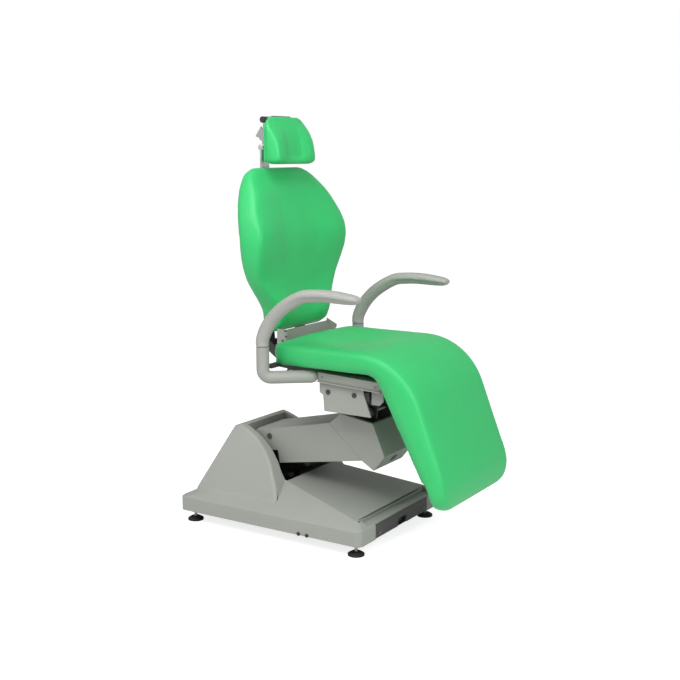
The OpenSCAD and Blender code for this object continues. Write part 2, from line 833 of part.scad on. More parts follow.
module arm_bushes() {
    x = beam_x - over;
    color(bronze) placed() both() difference() {
        union() {
            round_x(pivot_y, pivot_z, main_pin_r + bush_wall, x, x + bush_len);
            round_x(pivot_y, pivot_z, main_pin_r + 2 * bush_wall, beam_x + beam_t, x + bush_len);
        }
        round_x(pivot_y, pivot_z, main_pin_r + running, beam_x - bush_len, beam_x + 2 * bush_len);
    }
}

// The hollow inside the arm's two covers
module arm_hollow() {
    half = arm_w / 2 - cover_wall;
    top = arm_points(arm_top_shares);
    flat = half - arm_bevel;
    translate([-half, 0, 0]) rotate([90, 0, 90]) linear_extrude(2 * half) offset(delta = -cover_wall) {
        polygon(arm_points(arm_outline_shares));
        polygon(arm_points(elbow_outline_shares));
    }
    across(arm_points(beam_open_shares), -half, half);
    translate([0, 0, -cover_wall - over]) between([[-half, top[1][0], top[1][1]],
        [half, top[1][0], top[1][1]],
            [half, top[0][0], top[0][1]], [-half, top[0][0], top[0][1]]],
        [[-flat, top[2][0], top[2][1]], [flat, top[2][0], top[2][1]],
            [flat, top[3][0], top[3][1]], [-flat, top[3][0], top[3][1]]]);
}

module arm_cover() {
    half = arm_w / 2;
    flat = half - arm_bevel;
    top = arm_points(arm_top_shares);
    color(grey) placed() difference() {
        union() {
            across(arm_points(arm_outline_shares), -half, half);
            between([[-half, top[1][0], top[1][1]], [half, top[1][0], top[1][1]],
                    [half, top[0][0], top[0][1]], [-half, top[0][0], top[0][1]]],
                [[-flat, top[2][0], top[2][1]], [flat, top[2][0], top[2][1]],
                    [flat, top[3][0], top[3][1]], [-flat, top[3][0], top[3][1]]]);
        }
        arm_hollow();
        round_x(pivot_y + cap_back, pivot_z + cap_rise, shank_r, -arm_w, arm_w);
    }
}

module elbow_cover() {
    half = elbow_slot_w / 2;
    color(grey) placed() difference() {
        across(arm_points(elbow_outline_shares), -arm_w / 2, arm_w / 2);
        arm_hollow();
        block([-half, seat_pivot_y - elbow_slot_front, seat_pivot_z - link_drop],
            [half, seat_pivot_y + elbow_slot_back, seat_pivot_z + link_drop]);
    }
}

module arm_plugs() {
    color(dark_grey) placed() both() {
        round_x(pivot_y + cap_back, pivot_z + cap_rise, cap_r, arm_w / 2, arm_w / 2 + cap_t);
        round_x(pivot_y + cap_back, pivot_z + cap_rise, shank_r, arm_w / 2 - 2 * cover_wall,
            arm_w / 2 + over);
    }
}

module arm_plate() {
    p = arm_points(elbow_outline_shares);
    low = p[2];
    high = p[3];
    lean = atan2(high[1] - low[1], low[0] - high[0]);
    color(dark_grey) placed() translate([-plate_mark_w / 2, (low[0] + high[0]) / 2, (low[1] + high[1]) / 2])
        rotate([-lean, 0, 0]) translate([0, -plate_mark_h / 2, -plate_mark_t])
        cube([plate_mark_w, plate_mark_h, plate_mark_t]);
}

module motor_pin() {
    color(steel) placed() pin(rod_pin_y, rod_pin_z, pin_r, beam_x + beam_t);
}

module level_link() {
    run = sqrt(pow(arm_reach, 2) + pow(arm_rise, 2));
    color(dark_grey) placed() difference() {
        union() {
            translate([-link_t / 2, pivot_y, link_z]) rotate([-atan2(arm_rise, arm_reach), 0, 0])
                translate([0, -run, -link_w / 2]) cube([link_t, run, link_w]);
            round_x(pivot_y, link_z, link_eye_r, -link_t / 2, link_t / 2);
            round_x(seat_pivot_y, seat_link_z, link_eye_r, -link_t / 2, link_t / 2);
        }
        round_x(pivot_y, link_z, pin_r + running, -link_t, link_t);
        round_x(seat_pivot_y, seat_link_z, pin_r + running, -link_t, link_t);
    }
}

// Turns the Z axis along the lift motor, from its base pin to the arm
module along_lift() {
    translate([0, motor_y, motor_z]) rotate([90 - motor_tilt, 0, 0]) children();
}

module lift_motor() {
    half = lug_gap / 2 - over;
    color(black) placed() along_lift() difference() {
        union() {
            round_x(0, 0, lug_r, -half, half);
            cylinder(r = lug_r, h = motor_neck);
            translate([0, 0, motor_neck - over]) cylinder(r = motor_r, h = motor_len - motor_neck + over);
            translate([0, -motor_r, motor_neck]) cylinder(r = motor_can_r, h = motor_can_l);
        }
        round_x(0, 0, pin_r + running, -lug_gap, lug_gap);
        translate([0, 0, motor_bore_from]) cylinder(r = lift_rod_r + running, h = motor_len);
    }
}

module lift_rod() {
    color(steel) placed() along_lift() difference() {
        union() {
            translate([0, 0, motor_bore_from + lift_rod_back]) cylinder(r = lift_rod_r,
                h = motor_run - motor_bore_from - lift_rod_back);
            translate([0, 0, motor_run]) round_x(0, 0, rod_eye_r, -rod_eye_r, rod_eye_r);
        }
        translate([0, 0, motor_run]) round_x(0, 0, pin_r + rod_eye_play, -lug_gap, lug_gap);
    }
}

// The places of a cheek's outline, from the seat pivot
function cheek_point(p) = [seat_pivot_y + p[0] * cheek_l, seat_pivot_z + cheek_rise + p[1] * cheek_h];

module seat_carriage() {
    y1 = seat_pivot_y + carriage_back;
    y0 = y1 - carriage_l;
    color(dark_grey) placed() difference() {
        union() {
            block([-cheek_x, y0, deck_z], [cheek_x, y1, deck_z + deck_t]);
            both() {
                block([cheek_x - side_flange_t, y0, deck_z], [cheek_x, y1, deck_z + side_flange_h + deck_t]);
                ear(seat_pivot_y, seat_link_z, ear_r, seat_pivot_y, deck_z, 4 * ear_r, ear_x, ear_x + ear_t);
            }
        }
        for (z = [seat_pivot_z, seat_link_z]) round_x(seat_pivot_y, z, pin_r, -cheek_x / 2, cheek_x / 2);
        cheek_bolt_places() round_x(0, 0, stud_r, -cheek_t - side_flange_t - over, cheek_t);
    }
}

module cheek_bolt_places() {
    both() for (p = cheek_bolt_shares) translate([cheek_x + cheek_t, cheek_point(p)[0], cheek_point(p)[1]])
        children();
}

module carriage_pins() {
    color(steel) placed() {
        pin(seat_pivot_y, seat_pivot_z, pin_r, beam_x + beam_t);
        pin(seat_pivot_y, seat_link_z, pin_r, ear_x + ear_t);
    }
}

// The left cheek; the right one mirrors it
module cheek() {
    points = [for (p = cheek_outline_shares) cheek_point(p)];
    top = seat_pivot_z + cheek_rise + cheek_h;
    difference() {
        union() {
            across(points, cheek_x, cheek_x + cheek_t);
            block([cheek_x, points[5][0], top - cheek_t], [rail_x, points[0][0], top]);
        }
        cheek_bolt_places() round_x(0, 0, stud_r, -cheek_t - over, over);
    }
}

module cheek_left() {
    color(grey) placed() cheek();
}

module cheek_right() {
    color(grey) placed() mirror([1, 0, 0]) cheek();
}

module cheek_bolts() {
    color(black) placed() cheek_bolt_places() {
        round_x(0, 0, bolt_r, 0, bolt_t);
        round_x(0, 0, stud_r, -cheek_t - side_flange_t, bolt_t / 2);
        round_x(0, 0, bolt_r, -cheek_t - side_flange_t - bolt_t, -cheek_t - side_flange_t);
    }
}

module front_bracket() {
    y1 = seat_pivot_y - front_bracket_back;
    y0 = y1 - front_bracket_l;
    z0 = frame_z - front_bracket_h;
    color(grey) placed() {
        both() across([[y0 + front_bracket_chamfer, z0], [y1, z0], [y1, frame_z], [y0, frame_z],
            [y0, z0 + front_bracket_chamfer]], front_bracket_x - front_bracket_t, front_bracket_x);
        block([-front_bracket_x, y0, frame_z - front_bracket_t], [front_bracket_x, y1, frame_z]);
    }
}

// Side outline of a rail strip between two heights above the rail's lower edge
function rail_strip(low, high) = [[seat_pivot_y + rail_back, rail_z + low],
    [seat_pivot_y + rail_back, rail_z + high],
    [seat_pivot_y - rail_front, rail_z + high - rail_sink],
    [seat_pivot_y - rail_front, rail_z + (low + high) / 2 - rail_sink],
    [seat_pivot_y - rail_front + (high - low) / 2, rail_z + low - rail_sink]];

// The left rail; the right one mirrors it
module rail() {
    difference() {
        union() {
            across(rail_strip(0, rail_h), rail_x, rail_x + rail_t);
            across(rail_strip(rail_h - rail_t, rail_h), frame_tube_x + frame_tube_w, rail_x + rail_t);
            across(rail_strip(0, rail_t), rail_x, rail_x + rail_t + rail_lip);
        }
        rail_screw_places() round_x(0, 0, shank_r, -2 * rail_t, over);
    }
}

module rail_screw_places() {
    for (p = rail_screw_shares) translate([rail_x + rail_t, seat_pivot_y + p[0] * rail_back,
        rail_z + p[1] * rail_h]) children();
}

module seat_rail_left() {
    color(grey) placed() rail();
}

module seat_rail_right() {
    color(grey) placed() mirror([1, 0, 0]) rail();
}

module rail_screws() {
    color(steel) placed() both() rail_screw_places() {
        round_x(0, 0, screw_r, 0, screw_t);
        round_x(0, 0, shank_r, -rail_t, screw_t / 2);
    }
}

// Points of the seat's underside line at a distance below it, back edge to the end of the straight leg part
function under_line(gap) = concat(
    [[seat_back_y - board_inset, seat_under_z - gap]],
    [for (a = [0:side_step / 2:90 - leg_inner_lean]) [-seat_inner_l - (knee_inner_r - gap) * sin(a),
        seat_under_z - knee_inner_r + (knee_inner_r - gap) * cos(a)]],
    [under_leg(gap, 0), under_leg(gap, leg_inner_l)]);

// A point of the straight leg part's rear line, at a distance behind it and a length down it
function under_leg(gap, down) = [
    -seat_inner_l - (knee_inner_r - gap) * cos(leg_inner_lean) - down * sin(leg_inner_lean),
    seat_under_z - knee_inner_r + (knee_inner_r - gap) * sin(leg_inner_lean) - down * cos(leg_inner_lean)];

module seat_frame() {
    gap = soft_gap + board_t;
    post_in = post_x - post_d / 2 - soft_gap;
    color(black) placed() difference() {
        union() {
            both() {
                block([frame_tube_x, -seat_inner_l, frame_z],
                    [frame_tube_x + frame_tube_w, -frame_back, board_z]);
                round_x(hinge_y, hinge_z, hinge_boss_r, frame_tube_x + hinge_ear_in,
                    frame_tube_x + hinge_ear_in + hinge_ear_t);
                across([[-frame_back - frame_tube_h, frame_z], [-frame_back, frame_z],
                    [hinge_y, hinge_z - hinge_boss_r],
                    [hinge_y, hinge_z + hinge_boss_r], [-frame_back, board_z],
                        [-frame_back - frame_tube_h, board_z]],
                    frame_tube_x + hinge_ear_in, frame_tube_x + hinge_ear_in + hinge_ear_t);
                across([[-seat_inner_l, board_z], under_leg(gap, 0), under_leg(gap, leg_strut_l),
                    under_leg(gap + leg_strut_t, leg_strut_l), under_leg(gap + leg_strut_t, 0),
                    [-seat_inner_l, frame_z]], frame_tube_x, frame_tube_x + frame_tube_w);
            }
            for (y = [-frame_cross_back, -frame_cross_front]) block([-frame_tube_x - over, y - frame_tube_w,
                frame_z + shoulder], [frame_tube_x + over, y, board_z]);
            block([-post_in, post_y - arm_bar_w / 2, board_z - arm_bar_t],
                [-frame_tube_x, post_y + arm_bar_w / 2,
                board_z]);
            block([frame_tube_x, post_y - arm_bar_w / 2, board_z - arm_bar_t],
                [post_in, post_y + arm_bar_w / 2,
                board_z]);
        }
        round_x(hinge_y, hinge_z, hinge_r, -frame_tube_x - frame_tube_w, frame_tube_x + frame_tube_w);
    }
}

module seat_board() {
    half = seat_w / 2 - board_inset;
    far_side = under_line(soft_gap + board_t);
    color(dark_grey) placed() across(concat(under_line(soft_gap),
        [for (i = [len(far_side) - 1:-1:0]) far_side[i]]), -half, half);
}

// The seat cushion's upper face at station u: 0 to 1 seat, to 2 knee, to 3 leg, to 4 the rolled end
function seat_face(u) = let (k = u - floor(min(u, 3)), top = seat_under_z + seat_t, o = leg_outer_lean,
    knee = [-seat_l - knee_r * cos(o), top - knee_r + knee_r * sin(o)],
        foot = knee - leg_l * [sin(o), cos(o)],
    middle = foot + leg_roll_r * [cos(o), -sin(o)])
    u < 1 ? [seat_back_y - k * (seat_back_y + seat_l), top]
    : u < 2 ? [-seat_l - knee_r * sin(k * (90 - o)), top - knee_r + knee_r * cos(k * (90 - o))]
    : u < 3 ? knee - k * leg_l * [sin(o), cos(o)]
    : middle - leg_roll_r * [cos(o - k * leg_roll), -sin(o - k * leg_roll)];

// The same for the underside
function seat_under(u) = let (k = u - floor(min(u, 3)), o = leg_inner_lean, foot = under_leg(0, leg_inner_l),
    middle = foot + leg_inner_roll_r * [cos(o), -sin(o)])
    u < 1 ? [seat_back_y - k * (seat_back_y + seat_inner_l), seat_under_z]
    : u < 2 ? [-seat_inner_l - knee_inner_r * sin(k * (90 - o)),
        seat_under_z - knee_inner_r + knee_inner_r * cos(k * (90 - o))]
    : u < 3 ? under_leg(0, k * leg_inner_l)
    : middle - leg_inner_roll_r * [cos(o - k * leg_roll), -sin(o - k * leg_roll)];

function seat_ring(u) = let (low = seat_under(u), high = seat_face(u), t = norm(high - low),
    back_d = u < 1 ? u * (seat_back_y + seat_l) : far_off,
    tip_d = u > 3 ? (4 - u) * leg_roll_r * leg_roll * PI / 180 : far_off,
    w = seat_w / 2 - corner_cut(back_d, seat_corner_r) - corner_cut(tip_d, leg_corner_r)
        - (u < 1 ? seat_waist * sin(180 * u) : 0),
    full = min(end_share(back_d, seat_end_r, t), end_share(tip_d, leg_tip_r, t)),
    dished = u < 1 ? (1 - cos(180 * max(0, min(1, (back_d - seat_end_r) / dish_run))))
        * (1 + cos(180 * max(0, min(1, 2 * u - 1)))) / 4 : 0,
    crowned = (u > 1 ? 1 : 1 - dished) * min(1, tip_d / leg_corner_r))
    [for (p = cushion_ring(w, seat_side_r)) let (v = p[0] / (w - seat_side_r),
        h = (1 + (2 * p[1] - 1) * full) / 2,
        rise = p[1] < 1 || abs(v) >= 1 ? 0 : crown * crowned * (1 - v * v) - dish * dished * hollow_share(v),
        q = low + (h + rise / t) * (high - low)) [p[0], q[0], q[1]]];

module seat_cushion() {
    run = seat_back_y + seat_l;
    roll = leg_roll_r * leg_roll * PI / 180;
    ends = seat_corner_r / run;
    tips = leg_corner_r / roll;
    stations = concat([for (e = end_step_shares) e * ends], [for (i = [0:6]) ends + (1 - ends) * i / 7],
        [for (i = [0:9]) 1 + i / 10], [for (i = [0:3]) 2 + i / 4], [for (i = [0:1]) 3 + (1 - tips) * i / 2],
        [4 - tips], [for (i = [4:-1:0]) 4 - end_step_shares[i] * tips]);
    color(green) placed() skin([for (u = stations) seat_ring(u)]);
}

// The left tube and post; the right one mirrors it
module tube() {
    r = post_d / 2;
    run = norm([post_x - tube_in_x, post_y - tube_in_y]);
    drop = seam_z - tube_z;
    path = concat([[0, drop, 0, 1]],
        [for (a = [0:15:90]) [tube_bend_r * (1 - cos(a)), tube_bend_r * (1 - sin(a)), a, 1]],
        [for (a = [0, 30, 55, 75]) [run + r * sin(a), 0, 90, cos(a)]]);
    translate([post_x, post_y, tube_z]) {
        rotate([0, 0, -atan2(post_x - tube_in_x, post_y - tube_in_y)]) skin([for (p = path)
            [for (j = [0:tube_sides - 1]) let (side = p[3] * r * cos(360 * j / tube_sides),
                rise = p[3] * r * sin(360 * j / tube_sides))
                [side, -p[0] - rise * cos(p[2]), p[1] + rise * sin(p[2])]]]);
        translate([0, 0, drop - over]) cylinder(r = pivot_stub_r, h = pivot_stub_h + over);
    }
    block([cheek_x + cheek_t, tube_in_y - tube_lug_l, tube_z - tube_lug_h / 2],
        [rail_x, tube_in_y, tube_z + tube_lug_h / 2]);
}

module tube_left() {
    color(grey) placed() tube();
}

module tube_right() {
    color(grey) placed() mirror([1, 0, 0]) tube();
}

// A bar along Y, round, from its far end to its near end
module round_y(x, z, r, y0, y1) {
    translate([x, y0, z]) rotate([-90, 0, 0]) cylinder(r = r, h = y1 - y0);
}

module back_motor() {
    back_y = back_motor_end_y - back_motor_len;
    color(black) placed() difference() {
        union() {
            round_y(0, crank_z, back_motor_r, back_y, back_motor_end_y);
            for (y = [-frame_cross_back, -frame_cross_front + frame_tube_w]) block(
                [-back_motor_r / 2, y - frame_tube_w, crank_z], [back_motor_r / 2, y, frame_z + shoulder]);
        }
        round_y(0, crank_z, back_rod_r + running, back_motor_end_y - back_bore, back_motor_end_y + over);
    }
}

module back_rod() {
    color(steel) placed() {
        round_y(0, crank_z, back_rod_r, back_motor_end_y - back_bore + back_bore_free, crank_y);
        round_x(crank_y, crank_z, crank_pin_r, -lever_x - 2 * lever_t, lever_x + 2 * lever_t);
    }
}

module hinge_shaft() {
    color(steel) placed() round_x(hinge_y, hinge_z, hinge_r, -hinge_x, hinge_x);
}

// The left armrest around its post's foot; the right one mirrors it
module rest() {
    last = len(rest_shares) - 1;
    place = [for (p = rest_shares) [p[0] * rest_reach, p[1] * rest_rise, p[2] * post_d / 2,
        p[3] * post_d / 2]];
    steps = [for (i = [0:last - 1], k = [0, 0.5]) smooth(place, i, k), place[last]];
    difference() {
        skin([for (i = [0:len(steps) - 1]) let (c = steps[i], a = steps[max(0, i - 1)],
            b = steps[min(len(steps) - 1, i + 1)], d = [b[0] - a[0], b[1] - a[1]],
                t = i == 0 ? [0, 1] : d / norm(d),
            pad = max(0, min(1, (i / len(steps) - rest_pad_from) / rest_pad_from)))
            [for (j = [0:rest_ring - 1]) let (angle = 360 * j / rest_ring,
                square = 1 - pad * (1 - cushion_square), across_w = c[3] * signed_pow(cos(angle), square)
                    * (sin(angle) < -rest_pad_from ? 1 - pad * (1 - rest_spine_share) : 1),
                up = c[2] * signed_pow(sin(angle), square))
                [across_w, -c[0] + up * t[1], c[1] + up * t[0]]]]);
        translate([0, 0, -over]) cylinder(r = pivot_stub_r + running, h = pivot_stub_h + over + slide_gap);
    }
}

module armrest_left() {
    color(grey) placed() translate([post_x, post_y, seam_z + seam_gap]) rest();
}

module armrest_right() {
    color(grey) placed() mirror([1, 0, 0]) translate([post_x, post_y, seam_z + seam_gap]) rest();
}

// Turns Z along the back's slope, with Y behind its front face
module back_local() {
    translate([0, back_foot_y, back_foot_z]) rotate([-back_lean, 0, 0]) children();
}

// The hinge's place seen in the back's slope
hinge_ly = (hinge_y - back_foot_y) * cos(back_lean) - (hinge_z - back_foot_z) * sin(back_lean);
hinge_lz = (hinge_y - back_foot_y) * sin(back_lean) + (hinge_z - back_foot_z) * cos(back_lean);

module back_frame() {
    y0 = back_t + soft_gap + back_board_t;
    y1 = y0 + back_tube_w;
    color(dark_grey) placed() back_local() difference() {
        union() {
            both() {
                block([back_tube_x, y0, -back_tube_drop], [back_tube_x + back_tube_w, y1,
                    back_h - back_tube_short]);
                across([[hinge_ly - hub_r, hinge_lz], [y0, -back_tube_drop + back_tube_w],
                    [y1, -back_tube_drop],
                    [hinge_ly + hub_r / 2, hinge_lz - hub_r / 2]], back_plate_x, back_plate_x + back_plate_t);
                across([[y0, -back_tube_drop], [y1, -back_tube_drop], [y1, back_tube_w], [y0, back_tube_w]],
                    back_plate_x - back_plate_t, back_plate_x + back_plate_t);
            }
            round_x(hinge_ly, hinge_lz, hub_r, -back_plate_x - back_plate_t, back_plate_x + back_plate_t);
            for (z = [-back_tube_drop, back_h - back_tube_short - back_tube_w])
                block([-back_tube_x - over, y0, z], [back_tube_x + over, y1 - back_cross_step,
                    z + back_tube_w]);
        }
        round_x(hinge_ly, hinge_lz, hinge_r + running, -hinge_x, hinge_x);
    }
}

module back_levers() {
    reach = lever_drop / cos(lever_swing);
    slot = crank_pin_r + lever_slot_play;
    color(dark_grey) placed() translate([0, hinge_y, hinge_z]) rotate([lever_swing, 0, 0]) both()
        difference() {
        union() {
            block([lever_x, -lever_w / 2, -reach - lever_tail], [lever_x + lever_t, lever_w / 2, -hub_r / 2]);
            round_x(0, 0, hub_r + lever_t, lever_x, lever_x + lever_t);
        }
        round_x(0, 0, hub_r + running, 0, lever_x + 2 * lever_t);
        for (z = [-reach, -lever_drop]) round_x(0, z, slot, 0, lever_x + 2 * lever_t);
        block([0, -slot, -reach], [lever_x + 2 * lever_t, slot, -lever_drop]);
    }
}

module back_panel() {
    half = lower_panel_w / 2;
    y = lower_panel_y;
    z1 = back_foot_z + lower_panel_over;
    z0 = z1 - lower_panel_h;
    foot_y0 = (y + lower_panel_t / 2 - back_foot_y) * cos(back_lean) + back_tube_drop * sin(back_lean);
    color(grey) placed() difference() {
        union() {
            block([-half - over, y, z0], [half + over, y + lower_panel_t, back_foot_z - slide_gap]);
            // the right flange is lower than the left one
            for (side = [0, 1]) mirror([side, 0, 0]) across([[y + lower_panel_t, z0], [y, z0],
                [y - lower_flange, z0 + lower_step_share * lower_panel_h],
                [y - lower_flange, z1 - (1 - side) * lower_flange_drop], [y + lower_panel_t, z1]],
                half, half + lower_panel_t);
            // feet on the fronts of the back frame's tubes
            both() back_local() block([back_tube_x, foot_y0, back_cross_step - back_tube_drop],
                [back_tube_x + back_tube_w, back_t + soft_gap + back_board_t,
                    back_cross_step - back_tube_drop + lower_panel_t]);
        }
        back_screw_places() round_x(0, 0, shank_r, -2 * lower_panel_t, over);
    }
}

module back_screw_places() {
    z0 = back_foot_z + lower_panel_over - lower_panel_h;
    for (side = [0, 1], p = lower_screw_shares)
        if (z0 + p[1] * lower_panel_h + screw_r < z0 + lower_panel_h - (1 - side) * lower_flange_drop)
            mirror([side, 0, 0]) translate([lower_panel_w / 2 + lower_panel_t,
                lower_panel_y - p[0] * lower_flange, z0 + p[1] * lower_panel_h]) children();
}

module back_screws() {
    color(black) placed() back_screw_places() {
        round_x(0, 0, screw_r, 0, screw_t);
        round_x(0, 0, shank_r, -lower_panel_t, screw_t / 2);
    }
}

// Half width of the back at height share k
function back_half(k) = lookup(k, back_outline_shares) * back_w / 2;

function back_bow_y(k) = -back_bow * lookup(k, back_bow_shares);

// Height shares at which the back cushion and its board are cut, from the top down
function back_stations() = let (ends = back_edge_r / back_h)
    concat([for (e = end_step_shares) 1 - e * ends], [for (i = [0:20]) 1 - ends - i * (1 - 2 * ends) / 20],
        [for (i = [4:-1:0]) end_step_shares[i] * ends]);

module back_board() {
    y0 = back_t + soft_gap;
    color(dark_grey) placed() back_local() skin([for (k = back_stations())
        if (k > board_from_share && k < 1 - board_from_share)
            let (half = back_half(k) - back_board_inset, y = y0 + back_bow_y(k), z = k * back_h)
                [[-half, y + back_board_t, z], [-half, y, z], [half, y, z], [half, y + back_board_t, z]]]);
}

module back_cushion() {
    color(green) placed() back_local() skin([for (k = back_stations()) let (w = back_half(k),
        rear_y = back_t + back_bow_y(k), d = min(k, 1 - k) * back_h, full = end_share(d, back_edge_r, back_t),
        side_y = lookup(k, back_depth_shares) * back_t, centre_y = lookup(k, back_centre_shares) * back_t)
        [for (p = cushion_ring(w, back_side_r)) let (v = p[0] / (w - back_side_r),
            h = (1 + (2 * p[1] - 1) * full) / 2,
            in_face = p[1] < 1 || abs(v) >= 1 ? 0 : hollow_share(v) * min(1, d / back_edge_r),
            front_y = side_y + in_face * (centre_y - side_y))
            [p[0], rear_y + h * (front_y - rear_y), k * back_h]]]);
}

module bar_guide() {
    y0 = bar_y - bar_t / 2 - slide_gap - guide_wall;
    y1 = bar_y + bar_t / 2 + slide_gap + guide_wall;
    half = bar_w / 2 + slide_gap + guide_wall;
    z1 = back_top_z - guide_drop;
    foot_y = back_t + soft_gap + back_board_t;
    cross_z = back_foot_z + (back_h - back_tube_short - back_tube_w / 2) * cos(back_lean)
        - (foot_y + back_tube_w) * sin(back_lean) - guide_wall / 2;
    color(dark_grey) placed() difference() {
        union() {
            block([-half, y0, z1 - guide_len], [half, y1, z1]);
            // feet on the board and on the frame's upper cross tube
            for (f = [[z1 - guide_foot_drop, foot_y], [cross_z, foot_y + back_tube_w - back_cross_step]])
                intersection() {
                back_local() block([-half, f[1], 0], [half, foot_y + guide_len, back_h]);
                block([guide_wall / 2 - half, 0, f[0]], [half - guide_wall / 2, y0 + guide_wall / 2,
                    f[0] + guide_wall]);
            }
        }
        block([-bar_w / 2 - slide_gap, bar_y - bar_t / 2 - slide_gap, z1 - guide_len - over],
            [bar_w / 2 + slide_gap, bar_y + bar_t / 2 + slide_gap, z1 + over]);
    }
}

module head_bar() {
    color(steel) placed() difference() {
        block([-bar_w / 2, bar_y - bar_t / 2, knuckle_z - bar_len],
            [bar_w / 2, bar_y + bar_t / 2, knuckle_z]);
        round_x(bar_y, knuckle_z, knuckle_r, -bar_w, bar_w);
        block([-head_link_t, bar_y - bar_t, knuckle_z - head_link_w / 2 - over], [head_link_t, bar_y + bar_t,
            knuckle_z + over]);
    }
}

module head_knuckle() {
    color(steel) placed() {
        both() round_x(bar_y, knuckle_z, knuckle_r, head_link_t / 2 + slide_gap, knuckle_len / 2);
        round_x(bar_y, knuckle_z, head_pin_r, -knuckle_len / 2, knuckle_len / 2);
    }
}

module head_link() {
    lean = atan2(head_pivot_fwd, head_pivot_rise);
    color(steel) placed() difference() {
        union() {
            translate([-head_link_t / 2, 0, 0]) rotate([90, 0, 90]) linear_extrude(head_link_t) union() {
                translate([bar_y, knuckle_z]) rotate(lean) translate([-head_link_w / 2, 0])
                    square([head_link_w, norm([head_pivot_fwd, head_pivot_rise])]);
                for (p = [[bar_y, knuckle_z], [head_pivot_y, head_pivot_z]])
                    translate(p) circle(head_link_w / 2 + over);
                translate([lever_pin_y, lever_pin_z]) circle(head_pin_r * 2);
            }
            round_x(lever_pin_y, lever_pin_z, head_pin_r, 0, head_link_t / 2 + 2 * lever_thick);
        }
        for (p = [[bar_y, knuckle_z], [head_pivot_y, head_pivot_z]])
            round_x(p[0], p[1], head_pin_r + running, -head_link_t, head_link_t);
    }
}

module head_knob() {
    x0 = head_link_t / 2 + slide_gap + head_ear_t;
    color(black) placed() {
        both() round_x(head_pivot_y, head_pivot_z, knob_r, x0, x0 + knob_w);
        round_x(head_pivot_y, head_pivot_z, head_pin_r, -x0 - knob_w / 2, x0 + knob_w / 2);
    }
}

module head_plate() {
    y0 = head_front_y + head_t + 2 * soft_gap + head_board_t;
    x0 = head_link_t / 2 + slide_gap;
    z0 = head_pivot_z - head_plate_h + head_ear_r;
    color(steel) placed() difference() {
        union() {
            block([-head_plate_w / 2, y0, z0], [head_plate_w / 2, y0 + head_plate_t, z0 + head_plate_h]);
            both() {
                round_x(head_pivot_y, head_pivot_z, head_ear_r, x0, x0 + head_ear_t);
                across([[y0, head_pivot_z - head_plate_h / 2], [head_pivot_y, head_pivot_z - head_ear_r],
                    [head_pivot_y, head_pivot_z + head_ear_r], [y0, head_pivot_z + head_ear_r]], x0,
                        x0 + head_ear_t);
            }
        }
        round_x(head_pivot_y, head_pivot_z, head_pin_r, -head_plate_w, head_plate_w);
    }
}

// Half width of the headrest at height z above its foot
function head_half(z) = head_w / 2 - corner_cut(head_h - z, head_corner_r) - corner_cut(z, head_bottom_r);

module head_board() {
    y = head_front_y + head_t + soft_gap + head_board_t;
    steps = [for (i = [1:head_steps - 1]) let (z = head_h * i / head_steps) [head_half(z) - head_board_t, z]];
    color(dark_grey) placed() translate([0, y, head_foot_z]) rotate([90, 0, 0]) linear_extrude(head_board_t)
        polygon(concat(steps, [for (i = [len(steps) - 1:-1:0]) [-steps[i][0], steps[i][1]]]));
}

module head_cushion() {
    stations = concat([for (e = end_step_shares) head_h - e * head_edge_r],
        [for (i = [0:12]) head_h - head_edge_r - i * (head_h - 2 * head_edge_r) / 12],
        [for (i = [4:-1:0]) end_step_shares[i] * head_edge_r]);
    color(green) placed() translate([0, head_front_y, head_foot_z])
        skin([for (z = stations) let (w = head_half(z),
        d = min(z, head_h - z), full = end_share(d, head_edge_r, head_t), r = min(head_side_r, w / 2),
        side_y = lookup(z / head_h, head_depth_shares) * head_t,
            centre_y = lookup(z / head_h, head_centre_shares) * head_t)
        [for (p = cushion_ring(w, r)) let (v = p[0] / (w - r), h = (1 + (2 * p[1] - 1) * full) / 2,
            in_face = p[1] < 1 || abs(v) >= 1 ? 0 : hollow_share(v) * min(1, d / head_side_r),
            front_y = side_y + in_face * (centre_y - side_y))
            [p[0], head_t + h * (front_y - head_t), z]]]);
}

module head_lever() {
    x0 = head_link_t / 2 + slide_gap;
    color(steel) placed() difference() {
        across([[lever_pin_y - lever_nose, lever_pin_z - lever_nose], [lever_pin_y + lever_arm * 0.75,
            lever_pin_z + lever_nose], [lever_pin_y + lever_nose, lever_pin_z + lever_arm],
            [lever_pin_y - lever_nose, lever_pin_z + lever_arm / 2]], x0, x0 + lever_thick);
        round_x(lever_pin_y, lever_pin_z, head_pin_r + running, -lever_arm, lever_arm);
    }
}

base_plate();
pivot_tower();
base_cover();
cover_screws();
front_panel();
panel_screws();
mains_inlet();
side_plugs();
foot_pads();
foot_studs();
foot_nuts();
pivot_pins();
power_supply();
control_unit();
arm_beam();
arm_bushes();
arm_cover();
elbow_cover();
arm_plugs();
arm_plate();
motor_pin();
level_link();
lift_motor();
lift_rod();
seat_carriage();
carriage_pins();
cheek_right();
cheek_left();
cheek_bolts();
front_bracket();
seat_rail_right();
seat_rail_left();
rail_screws();
seat_frame();
seat_board();
seat_cushion();
tube_right();
tube_left();
back_motor();
back_rod();
hinge_shaft();
armrest_right();
armrest_left();
back_frame();
back_levers();
back_panel();
back_screws();
back_board();
back_cushion();
bar_guide();
head_bar();
head_knuckle();
head_link();
head_knob();
head_plate();
head_board();
head_cushion();
head_lever();
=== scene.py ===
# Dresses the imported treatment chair: cushions, armrests, covers, sheets, fasteners, finishes and the stage.
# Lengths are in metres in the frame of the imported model, where the sitter faces -Y with the right side on -X.
import json
import math

